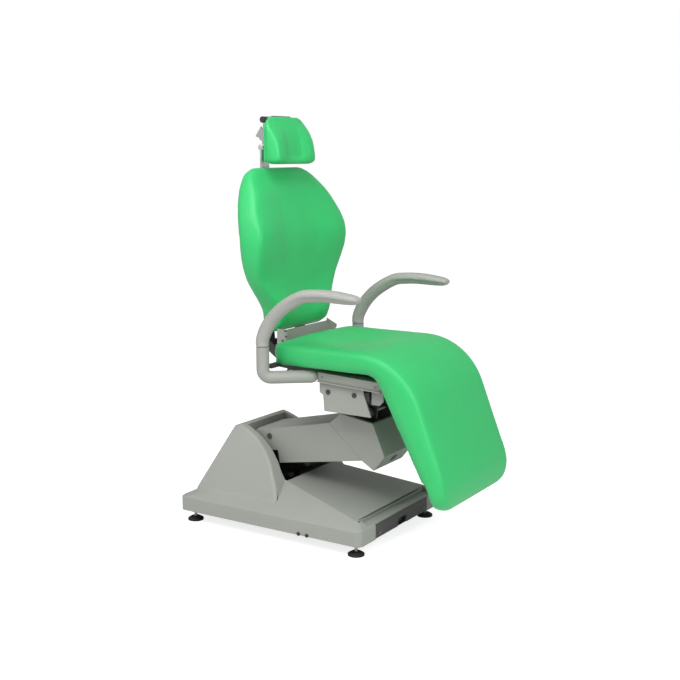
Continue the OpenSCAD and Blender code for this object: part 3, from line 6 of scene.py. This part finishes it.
import bpy
import numpy as np
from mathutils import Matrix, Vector


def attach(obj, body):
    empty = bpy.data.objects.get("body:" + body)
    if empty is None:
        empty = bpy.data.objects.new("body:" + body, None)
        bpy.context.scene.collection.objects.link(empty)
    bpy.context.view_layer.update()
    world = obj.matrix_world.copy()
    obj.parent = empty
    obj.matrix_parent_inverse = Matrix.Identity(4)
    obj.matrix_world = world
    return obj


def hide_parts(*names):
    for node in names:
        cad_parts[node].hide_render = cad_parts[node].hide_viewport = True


bl_info = {
    "name": "Treatment chair",
    "version": (1, 0, 0),
    "blender": (4, 5, 0),
    "location": "View3D > Sidebar > Chair",
    "description": "Dresses the packed model of an ear, nose and throat treatment chair",
    "category": "Object",
}

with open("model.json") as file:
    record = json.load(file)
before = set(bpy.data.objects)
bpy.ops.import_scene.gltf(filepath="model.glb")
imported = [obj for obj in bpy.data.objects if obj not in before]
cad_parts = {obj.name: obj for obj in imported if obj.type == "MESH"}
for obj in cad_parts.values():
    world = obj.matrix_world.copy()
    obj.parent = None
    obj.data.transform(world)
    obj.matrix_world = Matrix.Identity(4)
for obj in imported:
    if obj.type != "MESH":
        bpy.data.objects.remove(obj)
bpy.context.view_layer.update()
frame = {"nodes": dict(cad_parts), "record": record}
nodes = frame["nodes"]
slots = {part["node"]: part["material_slot"] for part in frame["record"]["subparts"]}
bodies = frame["record"]["behaviour"]["bodies"]
body_of_node = {node: body for body, members in bodies.items() for node in members}

MM = 0.001
WHITE = (1, 1, 1, 1)
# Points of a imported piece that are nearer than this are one, and faces that turn by less are one flat face
SAME_POINT = 0.01 * MM
FLAT_ANGLE = math.radians(0.4)
# Edges that turn by more than this, in degrees, are rounded
SHARP_ANGLE = 28
# Largest mesh size of a cushion, as a share of its height
PAD_MESH_SHARE = 0.02
# Rounds of smoothing of a cushion, of its cover once it is blown up, and of an armrest
PAD_ROUNDS, COVER_ROUNDS, REST_ROUNDS = 3, 2, 12
# How the vinyl answers the foam's pressure, and for how many steps
VINYL = {"quality": 4, "mass": 0.3, "bending_stiffness": 4, "tension_stiffness": 18,
         "compression_stiffness": 18}
VINYL_STEPS = 20
# A leaning side face of the housing faces outwards and upwards by more than this, and the face beyond its
# edge downwards by less
OUTWARDS, UPWARDS, DOWNWARDS = 0.85, 0.3, 0.2
# Rim round a bolt head's socket and rounding of its edges, as shares of the head's radius
RIM_SHARE, HEAD_ROUND_SHARE = 0.42, 0.08
# Each lamp's place, what it aims at, its width and height, and the setting that holds its power
LAMPS = (
    ((-3.2, 1.9, 2.6), (0, 0, 0.7), 2.2, 2.2, "key"),
    ((-2.0, -3.3, 2.6), (0, 0, 0.4), 2.4, 1.8, "fill"),
    ((-1.7, -0.2, 3.4), (0, 0, 0.3), 2.6, 2.6, "top"),
)
SENSOR_WIDTH = 36
FLOOR_SIZE = 40
FLOOR_GREY = (0.84, 0.84, 0.84, 1)
FLOOR_GLOW, FLOOR_SHARE = 2.0, 0.4


class ChairSizes(bpy.types.PropertyGroup):
    """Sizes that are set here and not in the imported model"""

    pad_voxel: bpy.props.FloatProperty(
        name="Pad mesh size", description="Edge length of the mesh that a cushion is blown up with",
        default=8 * MM, unit="LENGTH")
    pad_swell: bpy.props.FloatProperty(
        name="Pad swell", description="Farthest that the foam may push the vinyl out",
        default=1.5 * MM, unit="LENGTH")
    pad_pressure: bpy.props.FloatProperty(
        name="Pad pressure", description="Pressure of the foam under the vinyl", default=4)
    cover_round: bpy.props.FloatProperty(
        name="Cover rounding", description="Radius of the moulded covers' edges",
        default=2.5 * MM, unit="LENGTH")
    sheet_round: bpy.props.FloatProperty(
        name="Sheet rounding", description="Radius of the folded sheets' edges",
        default=0.8 * MM, unit="LENGTH")
    metal_round: bpy.props.FloatProperty(
        name="Metal rounding", description="Radius of the headrest fittings' edges",
        default=1.2 * MM, unit="LENGTH")
    socket_depth: bpy.props.FloatProperty(
        name="Socket depth", description="Depth of the sockets in the bolt heads",
        default=1.5 * MM, unit="LENGTH")
    rest_voxel: bpy.props.FloatProperty(
        name="Armrest mesh size", description="Edge length of the armrests' mesh",
        default=3 * MM, unit="LENGTH")
    hump_round: bpy.props.FloatProperty(
        name="Housing rounding", description="Radius of the edges along the tall housing's side faces",
        default=11 * MM, unit="LENGTH")


class ChairColours(bpy.types.PropertyGroup):
    """Colours of the chair's finishes"""

    vinyl: bpy.props.FloatVectorProperty(
        name="Vinyl", description="Upholstery", subtype="COLOR", size=4,
        default=(0.024, 0.43, 0.120, 1))
    vinyl_deep: bpy.props.FloatVectorProperty(
        name="Vinyl, deeper", description="Upholstery where its colour varies", subtype="COLOR", size=4,
        default=(0.019, 0.39, 0.108, 1))
    cover: bpy.props.FloatVectorProperty(
        name="Covers", description="Moulded covers, tubes and side plates", subtype="COLOR", size=4,
        default=(0.26, 0.27, 0.245, 1))
    armrest: bpy.props.FloatVectorProperty(
        name="Armrests", description="Moulded armrests", subtype="COLOR", size=4,
        default=(0.29, 0.295, 0.272, 1))
    frame_coat: bpy.props.FloatVectorProperty(
        name="Frame", description="Powder coat of the frame", subtype="COLOR", size=4,
        default=(0.03, 0.03, 0.029, 1))
    # The front panel's near-black colour is painted shade: the base's front face is in shadow, and that shadow
    # is painted into the sheet steel's colour
    panel: bpy.props.FloatVectorProperty(
        name="Front panel", description="Dark sheet steel", subtype="COLOR", size=4,
        default=(0.05, 0.05, 0.048, 1))


class StudioSettings(bpy.types.PropertyGroup):
    """The camera and the lamps"""

    eye: bpy.props.FloatVectorProperty(
        name="Eye", description="Place of the camera", size=3, subtype="TRANSLATION",
        default=(-3.446, -2.168, 1.402))
    turn: bpy.props.FloatProperty(
        name="Turn", description="The camera's turn about the upright", subtype="ANGLE",
        default=math.radians(-57.6))
    dip: bpy.props.FloatProperty(
        name="Dip", description="How far the camera looks down", subtype="ANGLE",
        default=math.radians(9.6))
    lens: bpy.props.FloatProperty(name="Lens", description="Focal length in millimetres", default=58.87)
    key: bpy.props.FloatProperty(
        name="Key lamp", description="Power of the key lamp in watts", default=34)
    fill: bpy.props.FloatProperty(
        name="Fill lamp", description="Power of the fill lamp in watts", default=100)
    top: bpy.props.FloatProperty(
        name="Top lamp", description="Power of the top lamp in watts", default=92)
    sky: bpy.props.FloatProperty(
        name="Sky", description="Strength of the even light all round", default=0.46)


class Value:
    """A socket of a material's nodes. Sums and products with it add the Math nodes that work them out."""

    def __init__(self, finish, socket):
        self.finish, self.socket = finish, socket

    def _math(self, operation, first, second):
        return self.finish.value("ShaderNodeMath", {"operation": operation}, {0: first, 1: second})

    def __add__(self, other):
        return self._math("ADD", self, other)

    def __mul__(self, other):
        return self._math("MULTIPLY", self, other)

    __radd__, __rmul__ = __add__, __mul__


class Finish:
    """A material made of nodes around one principled shader"""

    made = {}

    def __init__(self, name, **fixed):
        self.material = bpy.data.materials.new(name)
        self.material.use_nodes = True
        self.tree = self.material.node_tree
        self.shader = self.tree.nodes["Principled BSDF"]
        self.place = self.value("ShaderNodeTexCoord", output="Object")
        for socket, value in fixed.items():
            self.shader.inputs[socket.replace("_", " ")].default_value = value

    def node(self, kind, settings=None, inputs=None):
        made = self.tree.nodes.new(kind)
        for setting, value in (settings or {}).items():
            setattr(made, setting, value)
        for socket, value in (inputs or {}).items():
            if isinstance(value, Value):
                self.tree.links.new(value.socket, made.inputs[socket])
            else:
                made.inputs[socket].default_value = value
        return made

    def value(self, kind, settings=None, inputs=None, output=0):
        return Value(self, self.node(kind, settings, inputs).outputs[output])

    def stretched(self, scale):
        """The place on the piece, scaled along its three axes"""
        return self.value("ShaderNodeMapping", None, {"Vector": self.place, "Scale": scale})

    def noise(self, size, detail=2, place=None):
        """Soft blotches of about that size in metres"""
        return self.value("ShaderNodeTexNoise", None,
                          {"Vector": place or self.place, "Scale": 1 / size, "Detail": detail})

    def cells(self, size):
        """Pebbles of about that size in metres"""
        return self.value("ShaderNodeTexVoronoi", {"feature": "SMOOTH_F1"},
                          {"Vector": self.place, "Scale": 1 / size})

    def mixed(self, share, first, second):
        return self.value("ShaderNodeMix", {"data_type": "RGBA"}, {0: share, 6: first, 7: second}, output=2)

    def set(self, socket, value):
        self.tree.links.new(value.socket, self.shader.inputs[socket])
        return self

    def bump(self, height, distance, strength=1):
        normal = self.value("ShaderNodeBump", None,
                            {"Height": height, "Distance": distance, "Strength": strength}, output="Normal")
        return self.set("Normal", normal)


def shade(colour, factor):
    """A colour made lighter or darker"""
    return [channel * factor for channel in colour[:3]] + [1]


def green_vinyl(colours):
    finish = Finish("green_vinyl", Specular_IOR_Level=0.42, Sheen_Weight=0.05, Sheen_Roughness=0.45)
    pebbles = finish.cells(1.6 * MM)
    pores = finish.noise(0.7 * MM, 3)
    stretch = finish.noise(90 * MM, 3)
    finish.set("Base Color", finish.mixed(stretch, list(colours.vinyl_deep), list(colours.vinyl)))
    finish.set("Roughness", 0.38 + 0.10 * stretch + 0.08 * pores)
    return finish.bump(pebbles * 0.7 + pores * 0.3, 0.12 * MM, 0.35)


def moulded(name, colour, grain, roughness):
    """Textured moulded plastic or paint, faintly uneven in tone"""
    finish = Finish(name, Specular_IOR_Level=0.4)
    stipple = finish.noise(grain, 4)
    patches = finish.noise(140 * MM, 3)
    finish.set("Base Color", finish.mixed(patches, shade(colour, 0.95), shade(colour, 1.04)))
    finish.set("Roughness", roughness + 0.08 * patches + 0.06 * stipple)
    return finish.bump(stipple, 0.06 * MM, 0.3)


def metal(name, colour, roughness, streak):
    """Bare metal with fine brush marks along its length"""
    finish = Finish(name, Metallic=1)
    marks = finish.noise(1 * MM, 3, finish.stretched((1, 1, streak)))
    haze = finish.noise(30 * MM, 2)
    finish.set("Base Color", finish.mixed(haze, shade(colour, 0.92), colour))
    finish.set("Roughness", roughness + 0.10 * marks + 0.06 * haze)
    return finish.bump(marks, 0.03 * MM, 0.3)


def rubber():
    finish = Finish("rubber", Specular_IOR_Level=0.3)
    dust = finish.noise(12 * MM, 4)
    finish.set("Base Color", finish.mixed(dust, [0.012, 0.012, 0.012, 1], [0.03, 0.03, 0.029, 1]))
    finish.set("Roughness", 0.65 + 0.2 * dust)
    return finish.bump(finish.noise(0.8 * MM, 2), 0.1 * MM, 0.4)


def under_cloth():
    """Black woven lining on the undersides of the boards"""
    finish = Finish("under_cloth", Roughness=0.85, Specular_IOR_Level=0.2)
    across = finish.noise(1.2 * MM, 1, finish.stretched((1, 0.1, 0.1)))
    along = finish.noise(1.2 * MM, 1, finish.stretched((0.1, 1, 1)))
    fade = finish.noise(80 * MM, 3)
    finish.set("Base Color", finish.mixed(fade, [0.010, 0.010, 0.010, 1], [0.022, 0.022, 0.021, 1]))
    return finish.bump(across + along, 0.25 * MM, 0.5)


def floor_finish():
    """White floor that shows the camera only a part of its own shade, so that it fades into the backdrop"""
    finish = Finish("studio_floor", Roughness=0.9, Specular_IOR_Level=0)
    finish.shader.inputs["Base Color"].default_value = FLOOR_GREY
    rays = finish.node("ShaderNodeLightPath")
    glow = finish.node("ShaderNodeEmission", None, {"Color": WHITE, "Strength": FLOOR_GLOW})
    seen = Value(finish, rays.outputs["Is Camera Ray"])
    mix = finish.node("ShaderNodeMixShader", None, {0: seen * FLOOR_SHARE})
    finish.tree.links.new(finish.shader.outputs[0], mix.inputs[1])
    finish.tree.links.new(glow.outputs[0], mix.inputs[2])
    finish.tree.links.new(mix.outputs[0], finish.tree.nodes["Material Output"].inputs["Surface"])
    return finish


def make_finishes(colours):
    made = {
        "green_vinyl": green_vinyl(colours),
        "cover_grey": moulded("cover_grey", colours.cover, 0.9 * MM, 0.42),
        "armrest_grey": moulded("armrest_grey", colours.armrest, 1.4 * MM, 0.50),
        "frame_dark": moulded("frame_dark", colours.frame_coat, 1.2 * MM, 0.5),
        # panel_dark carries painted shade: the front panel is darkened in colour for the shadow on the base's
        # front face
        "panel_dark": moulded("panel_dark", colours.panel, 0.7 * MM, 0.45),
        "screw_dark": moulded("screw_dark", (0.035, 0.035, 0.035, 1), 1.5 * MM, 0.35),
        "black_plastic": moulded("black_plastic", (0.018, 0.018, 0.018, 1), 1.0 * MM, 0.4),
        "steel": metal("steel", (0.30, 0.305, 0.31, 1), 0.34, 0.05),
        "chrome": metal("chrome", (0.78, 0.78, 0.79, 1), 0.08, 0.2),
        "lever_metal": metal("lever_metal", (0.36, 0.37, 0.38, 1), 0.30, 0.1),
        "bronze": metal("bronze", (0.55, 0.40, 0.20, 1), 0.35, 0.3),
        "rubber": rubber(),
        "board": under_cloth(),
    }
    Finish.made = {slot: finish.material for slot, finish in made.items()}


def only(piece):
    """Selects one object alone and makes it the active one"""
    bpy.ops.object.select_all(action="DESELECT")
    piece.select_set(True)
    bpy.context.view_layer.objects.active = piece
    return piece


def modified(piece, kind, **settings):
    """Adds a modifier to the piece and applies it"""
    only(piece)
    bpy.ops.object.modifier_add(type=kind)
    modifier = piece.modifiers[-1]
    for setting, value in settings.items():
        setattr(modifier, setting, value)
    bpy.ops.object.modifier_apply(modifier=modifier.name)
    return piece


def rounded(piece, radius, segments=3):
    """Rounds the piece's sharp edges"""
    modified(piece, "BEVEL", width=radius, segments=segments, limit_method="ANGLE",
             angle_limit=math.radians(SHARP_ANGLE), harden_normals=False, miter_outer="MITER_ARC")
    return modified(smooth(piece), "WEIGHTED_NORMAL", keep_sharp=True)


def smooth(piece, angle=40):
    """Shades the piece smooth across edges that turn by less than the angle, in degrees"""
    only(piece)
    bpy.ops.object.shade_smooth_by_angle(angle=math.radians(angle))
    return piece


def in_edit_mode(piece, *steps):
    """Runs mesh operators, each given with its settings, on the whole piece"""
    only(piece)
    bpy.ops.object.mode_set(mode="EDIT")
    bpy.ops.mesh.select_all(action="SELECT")
    for operator, settings in steps:
        operator(**settings)
    bpy.ops.object.mode_set(mode="OBJECT")
    return piece


def copy_of(node, name):
    """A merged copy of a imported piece, free to be reshaped and alone selected"""
    piece = bpy.data.objects.new(name, nodes[node].data.copy())
    piece.data.materials.clear()
    bpy.context.scene.collection.objects.link(piece)
    return in_edit_mode(piece, (bpy.ops.mesh.remove_doubles, {"threshold": SAME_POINT}),
                        (bpy.ops.mesh.normals_make_consistent, {"inside": False}))


def flat_faces(piece):
    """Joins the triangles of each flat face"""
    return in_edit_mode(piece, (bpy.ops.mesh.dissolve_limited, {"angle_limit": FLAT_ANGLE}))


def finished(piece, body, slot, *stands_for):
    """Gives the piece its finish and its body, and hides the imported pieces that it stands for"""
    piece.data.materials.clear()
    piece.data.materials.append(Finish.made[slot])
    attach(piece, body)
    if stands_for:
        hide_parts(*stands_for)
    return piece


def values_of(items, kind):
    """A row for each vertex or face with its co, normal or center, or one array of the faces' areas"""
    found = np.empty(len(items) * (1 if kind == "area" else 3))
    items.foreach_get(kind, found)
    return found if kind == "area" else found.reshape(-1, 3)


def coords(piece):
    return values_of(piece.data.vertices, "co")


def put_coords(piece, places):
    piece.data.vertices.foreach_set("co", places.ravel())
    piece.data.update()


def room_of(piece):
    """The two corners of the box round the piece"""
    places = coords(piece)
    return places.min(axis=0), places.max(axis=0)


def blown_up(piece, pressure, farthest):
    """Lets foam pressure push the vinyl out along its normals, by no more than the farthest"""
    start = coords(piece)
    facing = values_of(piece.data.vertices, "normal")
    only(piece)
    bpy.ops.object.modifier_add(type="CLOTH")
    cloth = piece.modifiers[-1]
    cloth.settings.use_pressure = True
    cloth.settings.uniform_pressure_force = pressure
    cloth.settings.effector_weights.gravity = 0
    for setting, value in VINYL.items():
        setattr(cloth.settings, setting, value)
    for step in range(VINYL_STEPS):
        bpy.context.scene.frame_set(step + 1)
    bpy.ops.object.modifier_apply(modifier=cloth.name)
    bpy.context.scene.frame_set(1)
    push = np.sum((coords(piece) - start) * facing, axis=1, keepdims=True)
    put_coords(piece, start + facing * np.clip(push, 0, farthest))
    return piece


def relaxed(piece, rounds):
    """Evens out the piece's mesh and softens its edges"""
    return modified(piece, "SMOOTH", factor=0.5, iterations=rounds)


def softened(piece, voxel, rounds):
    """Gives the piece an even mesh with softer edges"""
    modified(piece, "REMESH", mode="VOXEL", voxel_size=voxel, use_smooth_shade=True)
    return relaxed(piece, rounds)


def fitted(piece, room):
    """Stretches the piece until it fills the room that it had"""
    low, high = room_of(piece)
    put_coords(piece, room[0] + (coords(piece) - low) * (room[1] - room[0]) / (high - low))
    return piece


def cushion(node, board, sizes):
    """A foam pad on its board under one stretched vinyl cover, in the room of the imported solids"""
    pad = copy_of(node, node + "_vinyl")
    copy_of(board, board + "_core")
    pad.select_set(True)
    bpy.context.view_layer.objects.active = pad
    bpy.ops.object.join()
    room = room_of(pad)
    softened(pad, min(sizes.pad_voxel, PAD_MESH_SHARE * float(room[1][2] - room[0][2])), PAD_ROUNDS)
    blown_up(pad, sizes.pad_pressure, sizes.pad_swell)
    relaxed(pad, COVER_ROUNDS)
    modified(pad, "SUBSURF", levels=1, render_levels=1)
    fitted(pad, room)
    only(pad)
    bpy.ops.object.shade_smooth()
    finished(pad, body_of_node[node], "green_vinyl", node, board)
    return pad


def on_faces(piece, marked, operator, **settings):
    """Runs a mesh operator on the marked faces alone"""
    only(piece)
    bpy.ops.object.mode_set(mode="EDIT")
    bpy.ops.mesh.select_mode(type="FACE")
    bpy.ops.mesh.select_all(action="DESELECT")
    bpy.ops.object.mode_set(mode="OBJECT")
    piece.data.polygons.foreach_set("select", marked)
    bpy.ops.object.mode_set(mode="EDIT")
    operator(**settings)
    bpy.ops.object.mode_set(mode="OBJECT")
    return piece


class CHAIR_OT_stage(bpy.types.Operator):
    """Add the floor, the lamps, the even light and the camera"""

    bl_idname = "chair.stage"
    bl_label = "Stage"

    def execute(self, context):
        studio = context.scene.chair_studio
        self.camera(studio)
        self.light(studio)
        self.floor()
        context.scene.view_settings.view_transform = "Standard"
        return {"FINISHED"}

    def camera(self, studio):
        bpy.ops.object.camera_add(location=studio.eye, rotation=(math.pi / 2 - studio.dip, 0, studio.turn))
        camera = bpy.context.object
        camera.data.lens = studio.lens
        camera.data.sensor_width = SENSOR_WIDTH
        bpy.context.scene.camera = camera

    def lamp(self, place, aim, width, height, power):
        bpy.ops.object.light_add(type="AREA", location=place)
        lamp = bpy.context.object
        lamp.data.shape, lamp.data.energy = "RECTANGLE", power
        lamp.data.size, lamp.data.size_y = width, height
        lamp.rotation_euler = (Vector(aim) - Vector(place)).to_track_quat("-Z", "Y").to_euler()

    def light(self, studio):
        for place, aim, width, height, power in LAMPS:
            self.lamp(place, aim, width, height, getattr(studio, power))
        world = bpy.data.worlds.new("studio")
        bpy.context.scene.world = world
        world.use_nodes = True
        tree = world.node_tree
        rays = tree.nodes.new("ShaderNodeLightPath")
        even = tree.nodes["Background"]
        even.inputs["Color"].default_value = WHITE
        even.inputs["Strength"].default_value = studio.sky
        white = tree.nodes.new("ShaderNodeBackground")
        white.inputs["Color"].default_value = WHITE
        white.inputs["Strength"].default_value = 1
        mix = tree.nodes.new("ShaderNodeMixShader")
        tree.links.new(rays.outputs["Is Camera Ray"], mix.inputs[0])
        tree.links.new(even.outputs[0], mix.inputs[1])
        tree.links.new(white.outputs[0], mix.inputs[2])
        tree.links.new(mix.outputs[0], tree.nodes["World Output"].inputs["Surface"])

    def floor(self):
        bpy.ops.mesh.primitive_plane_add(size=FLOOR_SIZE)
        floor = bpy.context.object
        floor.name = "floor"
        floor.data.materials.append(floor_finish().material)


class CHAIR_OT_finishes(bpy.types.Operator):
    """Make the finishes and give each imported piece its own"""

    bl_idname = "chair.finishes"
    bl_label = "Finishes"

    def execute(self, context):
        make_finishes(context.scene.chair_colours)
        for node, piece in nodes.items():
            for part in piece.material_slots:
                part.material = Finish.made[slots[node]]
        return {"FINISHED"}


class CHAIR_OT_cushions(bpy.types.Operator):
    """Upholster the seat with its leg rest, the back and the headrest"""

    bl_idname = "chair.cushions"
    bl_label = "Cushions"

    def execute(self, context):
        sizes = context.scene.chair_sizes
        for part, fill in (("seat", 0.8), ("back", 0.8), ("head", 0.85)):
            cushion(part + "_cushion", part + "_board", sizes)
        return {"FINISHED"}


class CHAIR_OT_armrests(bpy.types.Operator):
    """Smooth the moulded armrests and their tubes"""

    bl_idname = "chair.armrests"
    bl_label = "Armrests and tubes"

    def execute(self, context):
        voxel = context.scene.chair_sizes.rest_voxel
        for side in ("right", "left"):
            rest = copy_of("armrest_" + side, "armrest_moulded_" + side)
            room = room_of(rest)
            fitted(softened(rest, voxel, REST_ROUNDS), room)
            finished(smooth(rest, angle=50), "armrest_" + side, "armrest_grey", "armrest_" + side)
            tube = flat_faces(copy_of("tube_" + side, "tube_welded_" + side))
            finished(smooth(tube, angle=32), "seat", "cover_grey", "tube_" + side)
        return {"FINISHED"}


def side_face_edges(shell):
    """Marks the edges round the housing's leaning outer side faces"""
    mesh = shell.data
    normals = values_of(mesh.polygons, "normal")
    faces_of_edge = [[] for edge in mesh.edges]
    for face in mesh.polygons:
        for loop in face.loop_indices:
            faces_of_edge[mesh.loops[loop].edge_index].append(face.index)
    weights = np.zeros(len(mesh.edges))
    for edge, faces in enumerate(faces_of_edge):
        if len(faces) != 2:
            continue
        ends = [mesh.vertices[vertex].co for vertex in mesh.edges[edge].vertices]
        side = 1 if ends[0].x + ends[1].x > 0 else -1
        leaning = [normals[face][0] * side > OUTWARDS and normals[face][2] > UPWARDS for face in faces]
        turned = math.degrees(math.acos(float(np.clip(normals[faces[0]] @ normals[faces[1]], -1, 1))))
        if sum(leaning) == 1 and turned > SHARP_ANGLE:
            beyond = faces[leaning.index(False)]
            weights[edge] = float(normals[beyond][2] > -DOWNWARDS)
    marks = mesh.attributes.new("bevel_weight_edge", "FLOAT", "EDGE")
    marks.data.foreach_set("value", weights)
    return shell


class CHAIR_OT_covers(bpy.types.Operator):
    """Round the edges of the moulded covers"""

    bl_idname = "chair.covers"
    bl_label = "Covers"

    def execute(self, context):
        sizes = context.scene.chair_sizes
        for node in ("base_cover", "arm_cover", "elbow_cover"):
            shell = flat_faces(copy_of(node, node + "_moulded"))
            if node == "base_cover":
                modified(side_face_edges(shell), "BEVEL", width=sizes.hump_round, segments=6,
                         limit_method="WEIGHT", use_clamp_overlap=False)
            finished(rounded(shell, sizes.cover_round), body_of_node[node], slots[node], node)
        return {"FINISHED"}


class CHAIR_OT_sheet_metal(bpy.types.Operator):
    """Round the folded sheets under the seat and behind the back"""

    bl_idname = "chair.sheet_metal"
    bl_label = "Sheet metal"

    def execute(self, context):
        radius = context.scene.chair_sizes.sheet_round
        for node in ("cheek_right", "cheek_left", "seat_rail_right", "seat_rail_left", "back_panel",
                     "front_bracket", "front_panel"):
            sheet = flat_faces(copy_of(node, node + "_folded"))
            finished(rounded(sheet, radius, 2), body_of_node[node], slots[node], node)
        return {"FINISHED"}


class CHAIR_OT_fasteners(bpy.types.Operator):
    """Sink a socket into the heads of the bolts and caps at the chair's sides and soften their rims"""

    bl_idname = "chair.fasteners"
    bl_label = "Fasteners"

    def execute(self, context):
        sizes = context.scene.chair_sizes
        for node, slot in (("cheek_bolts", "screw_dark"), ("arm_plugs", "steel"), ("rail_screws", "steel"),
                           ("side_plugs", "black_plastic"), ("back_screws", "screw_dark")):
            heads = flat_faces(copy_of(node, node + "_headed"))
            faces = heads.data.polygons
            across = np.abs(values_of(faces, "center")[:, 0])
            sideways = np.abs(values_of(faces, "normal")[:, 0]) > 0.99
            outer = sideways & (across > across.max() - 0.1 * MM)
            radius = math.sqrt(float(np.median(values_of(faces, "area")[outer])) / math.pi)
            on_faces(heads, outer, bpy.ops.mesh.inset, thickness=RIM_SHARE * radius,
                     depth=-sizes.socket_depth, use_individual=True)
            finished(rounded(heads, HEAD_ROUND_SHARE * radius, 2), body_of_node[node], slot, node)
        return {"FINISHED"}


class CHAIR_OT_head_fittings(bpy.types.Operator):
    """Round the headrest's fittings"""

    bl_idname = "chair.head_fittings"
    bl_label = "Headrest fittings"

    def execute(self, context):
        radius = context.scene.chair_sizes.metal_round
        for node in ("head_bar", "head_knuckle", "head_link", "head_plate", "head_lever", "head_knob"):
            fitting = flat_faces(copy_of(node, node + "_rounded"))
            finished(rounded(fitting, radius), body_of_node[node], slots[node], node)
        return {"FINISHED"}


class CHAIR_PT_panel(bpy.types.Panel):
    """Lists the chair's operators"""

    bl_label = "Treatment chair"
    bl_idname = "CHAIR_PT_panel"
    bl_space_type = "VIEW_3D"
    bl_region_type = "UI"
    bl_category = "Chair"

    def draw(self, context):
        for maker in MAKERS:
            self.layout.operator(maker.bl_idname)


MAKERS = (
    CHAIR_OT_stage,
    CHAIR_OT_finishes,
    CHAIR_OT_cushions,
    CHAIR_OT_armrests,
    CHAIR_OT_covers,
    CHAIR_OT_sheet_metal,
    CHAIR_OT_fasteners,
    CHAIR_OT_head_fittings,
)
GROUPS = {"chair_sizes": ChairSizes, "chair_colours": ChairColours, "chair_studio": StudioSettings}


def register():
    for group in GROUPS.values():
        bpy.utils.register_class(group)
    for maker in (*MAKERS, CHAIR_PT_panel):
        bpy.utils.register_class(maker)
    for name, group in GROUPS.items():
        setattr(bpy.types.Scene, name, bpy.props.PointerProperty(type=group))


def unregister():
    for name in GROUPS:
        delattr(bpy.types.Scene, name)
    for maker in (CHAIR_PT_panel, *reversed(MAKERS)):
        bpy.utils.unregister_class(maker)
    for group in reversed(list(GROUPS.values())):
        bpy.utils.unregister_class(group)


def main():
    register()
    for maker in MAKERS:
        group, name = maker.bl_idname.split(".")
        getattr(getattr(bpy.ops, group), name)()


if __name__ == "__main__":
    main()
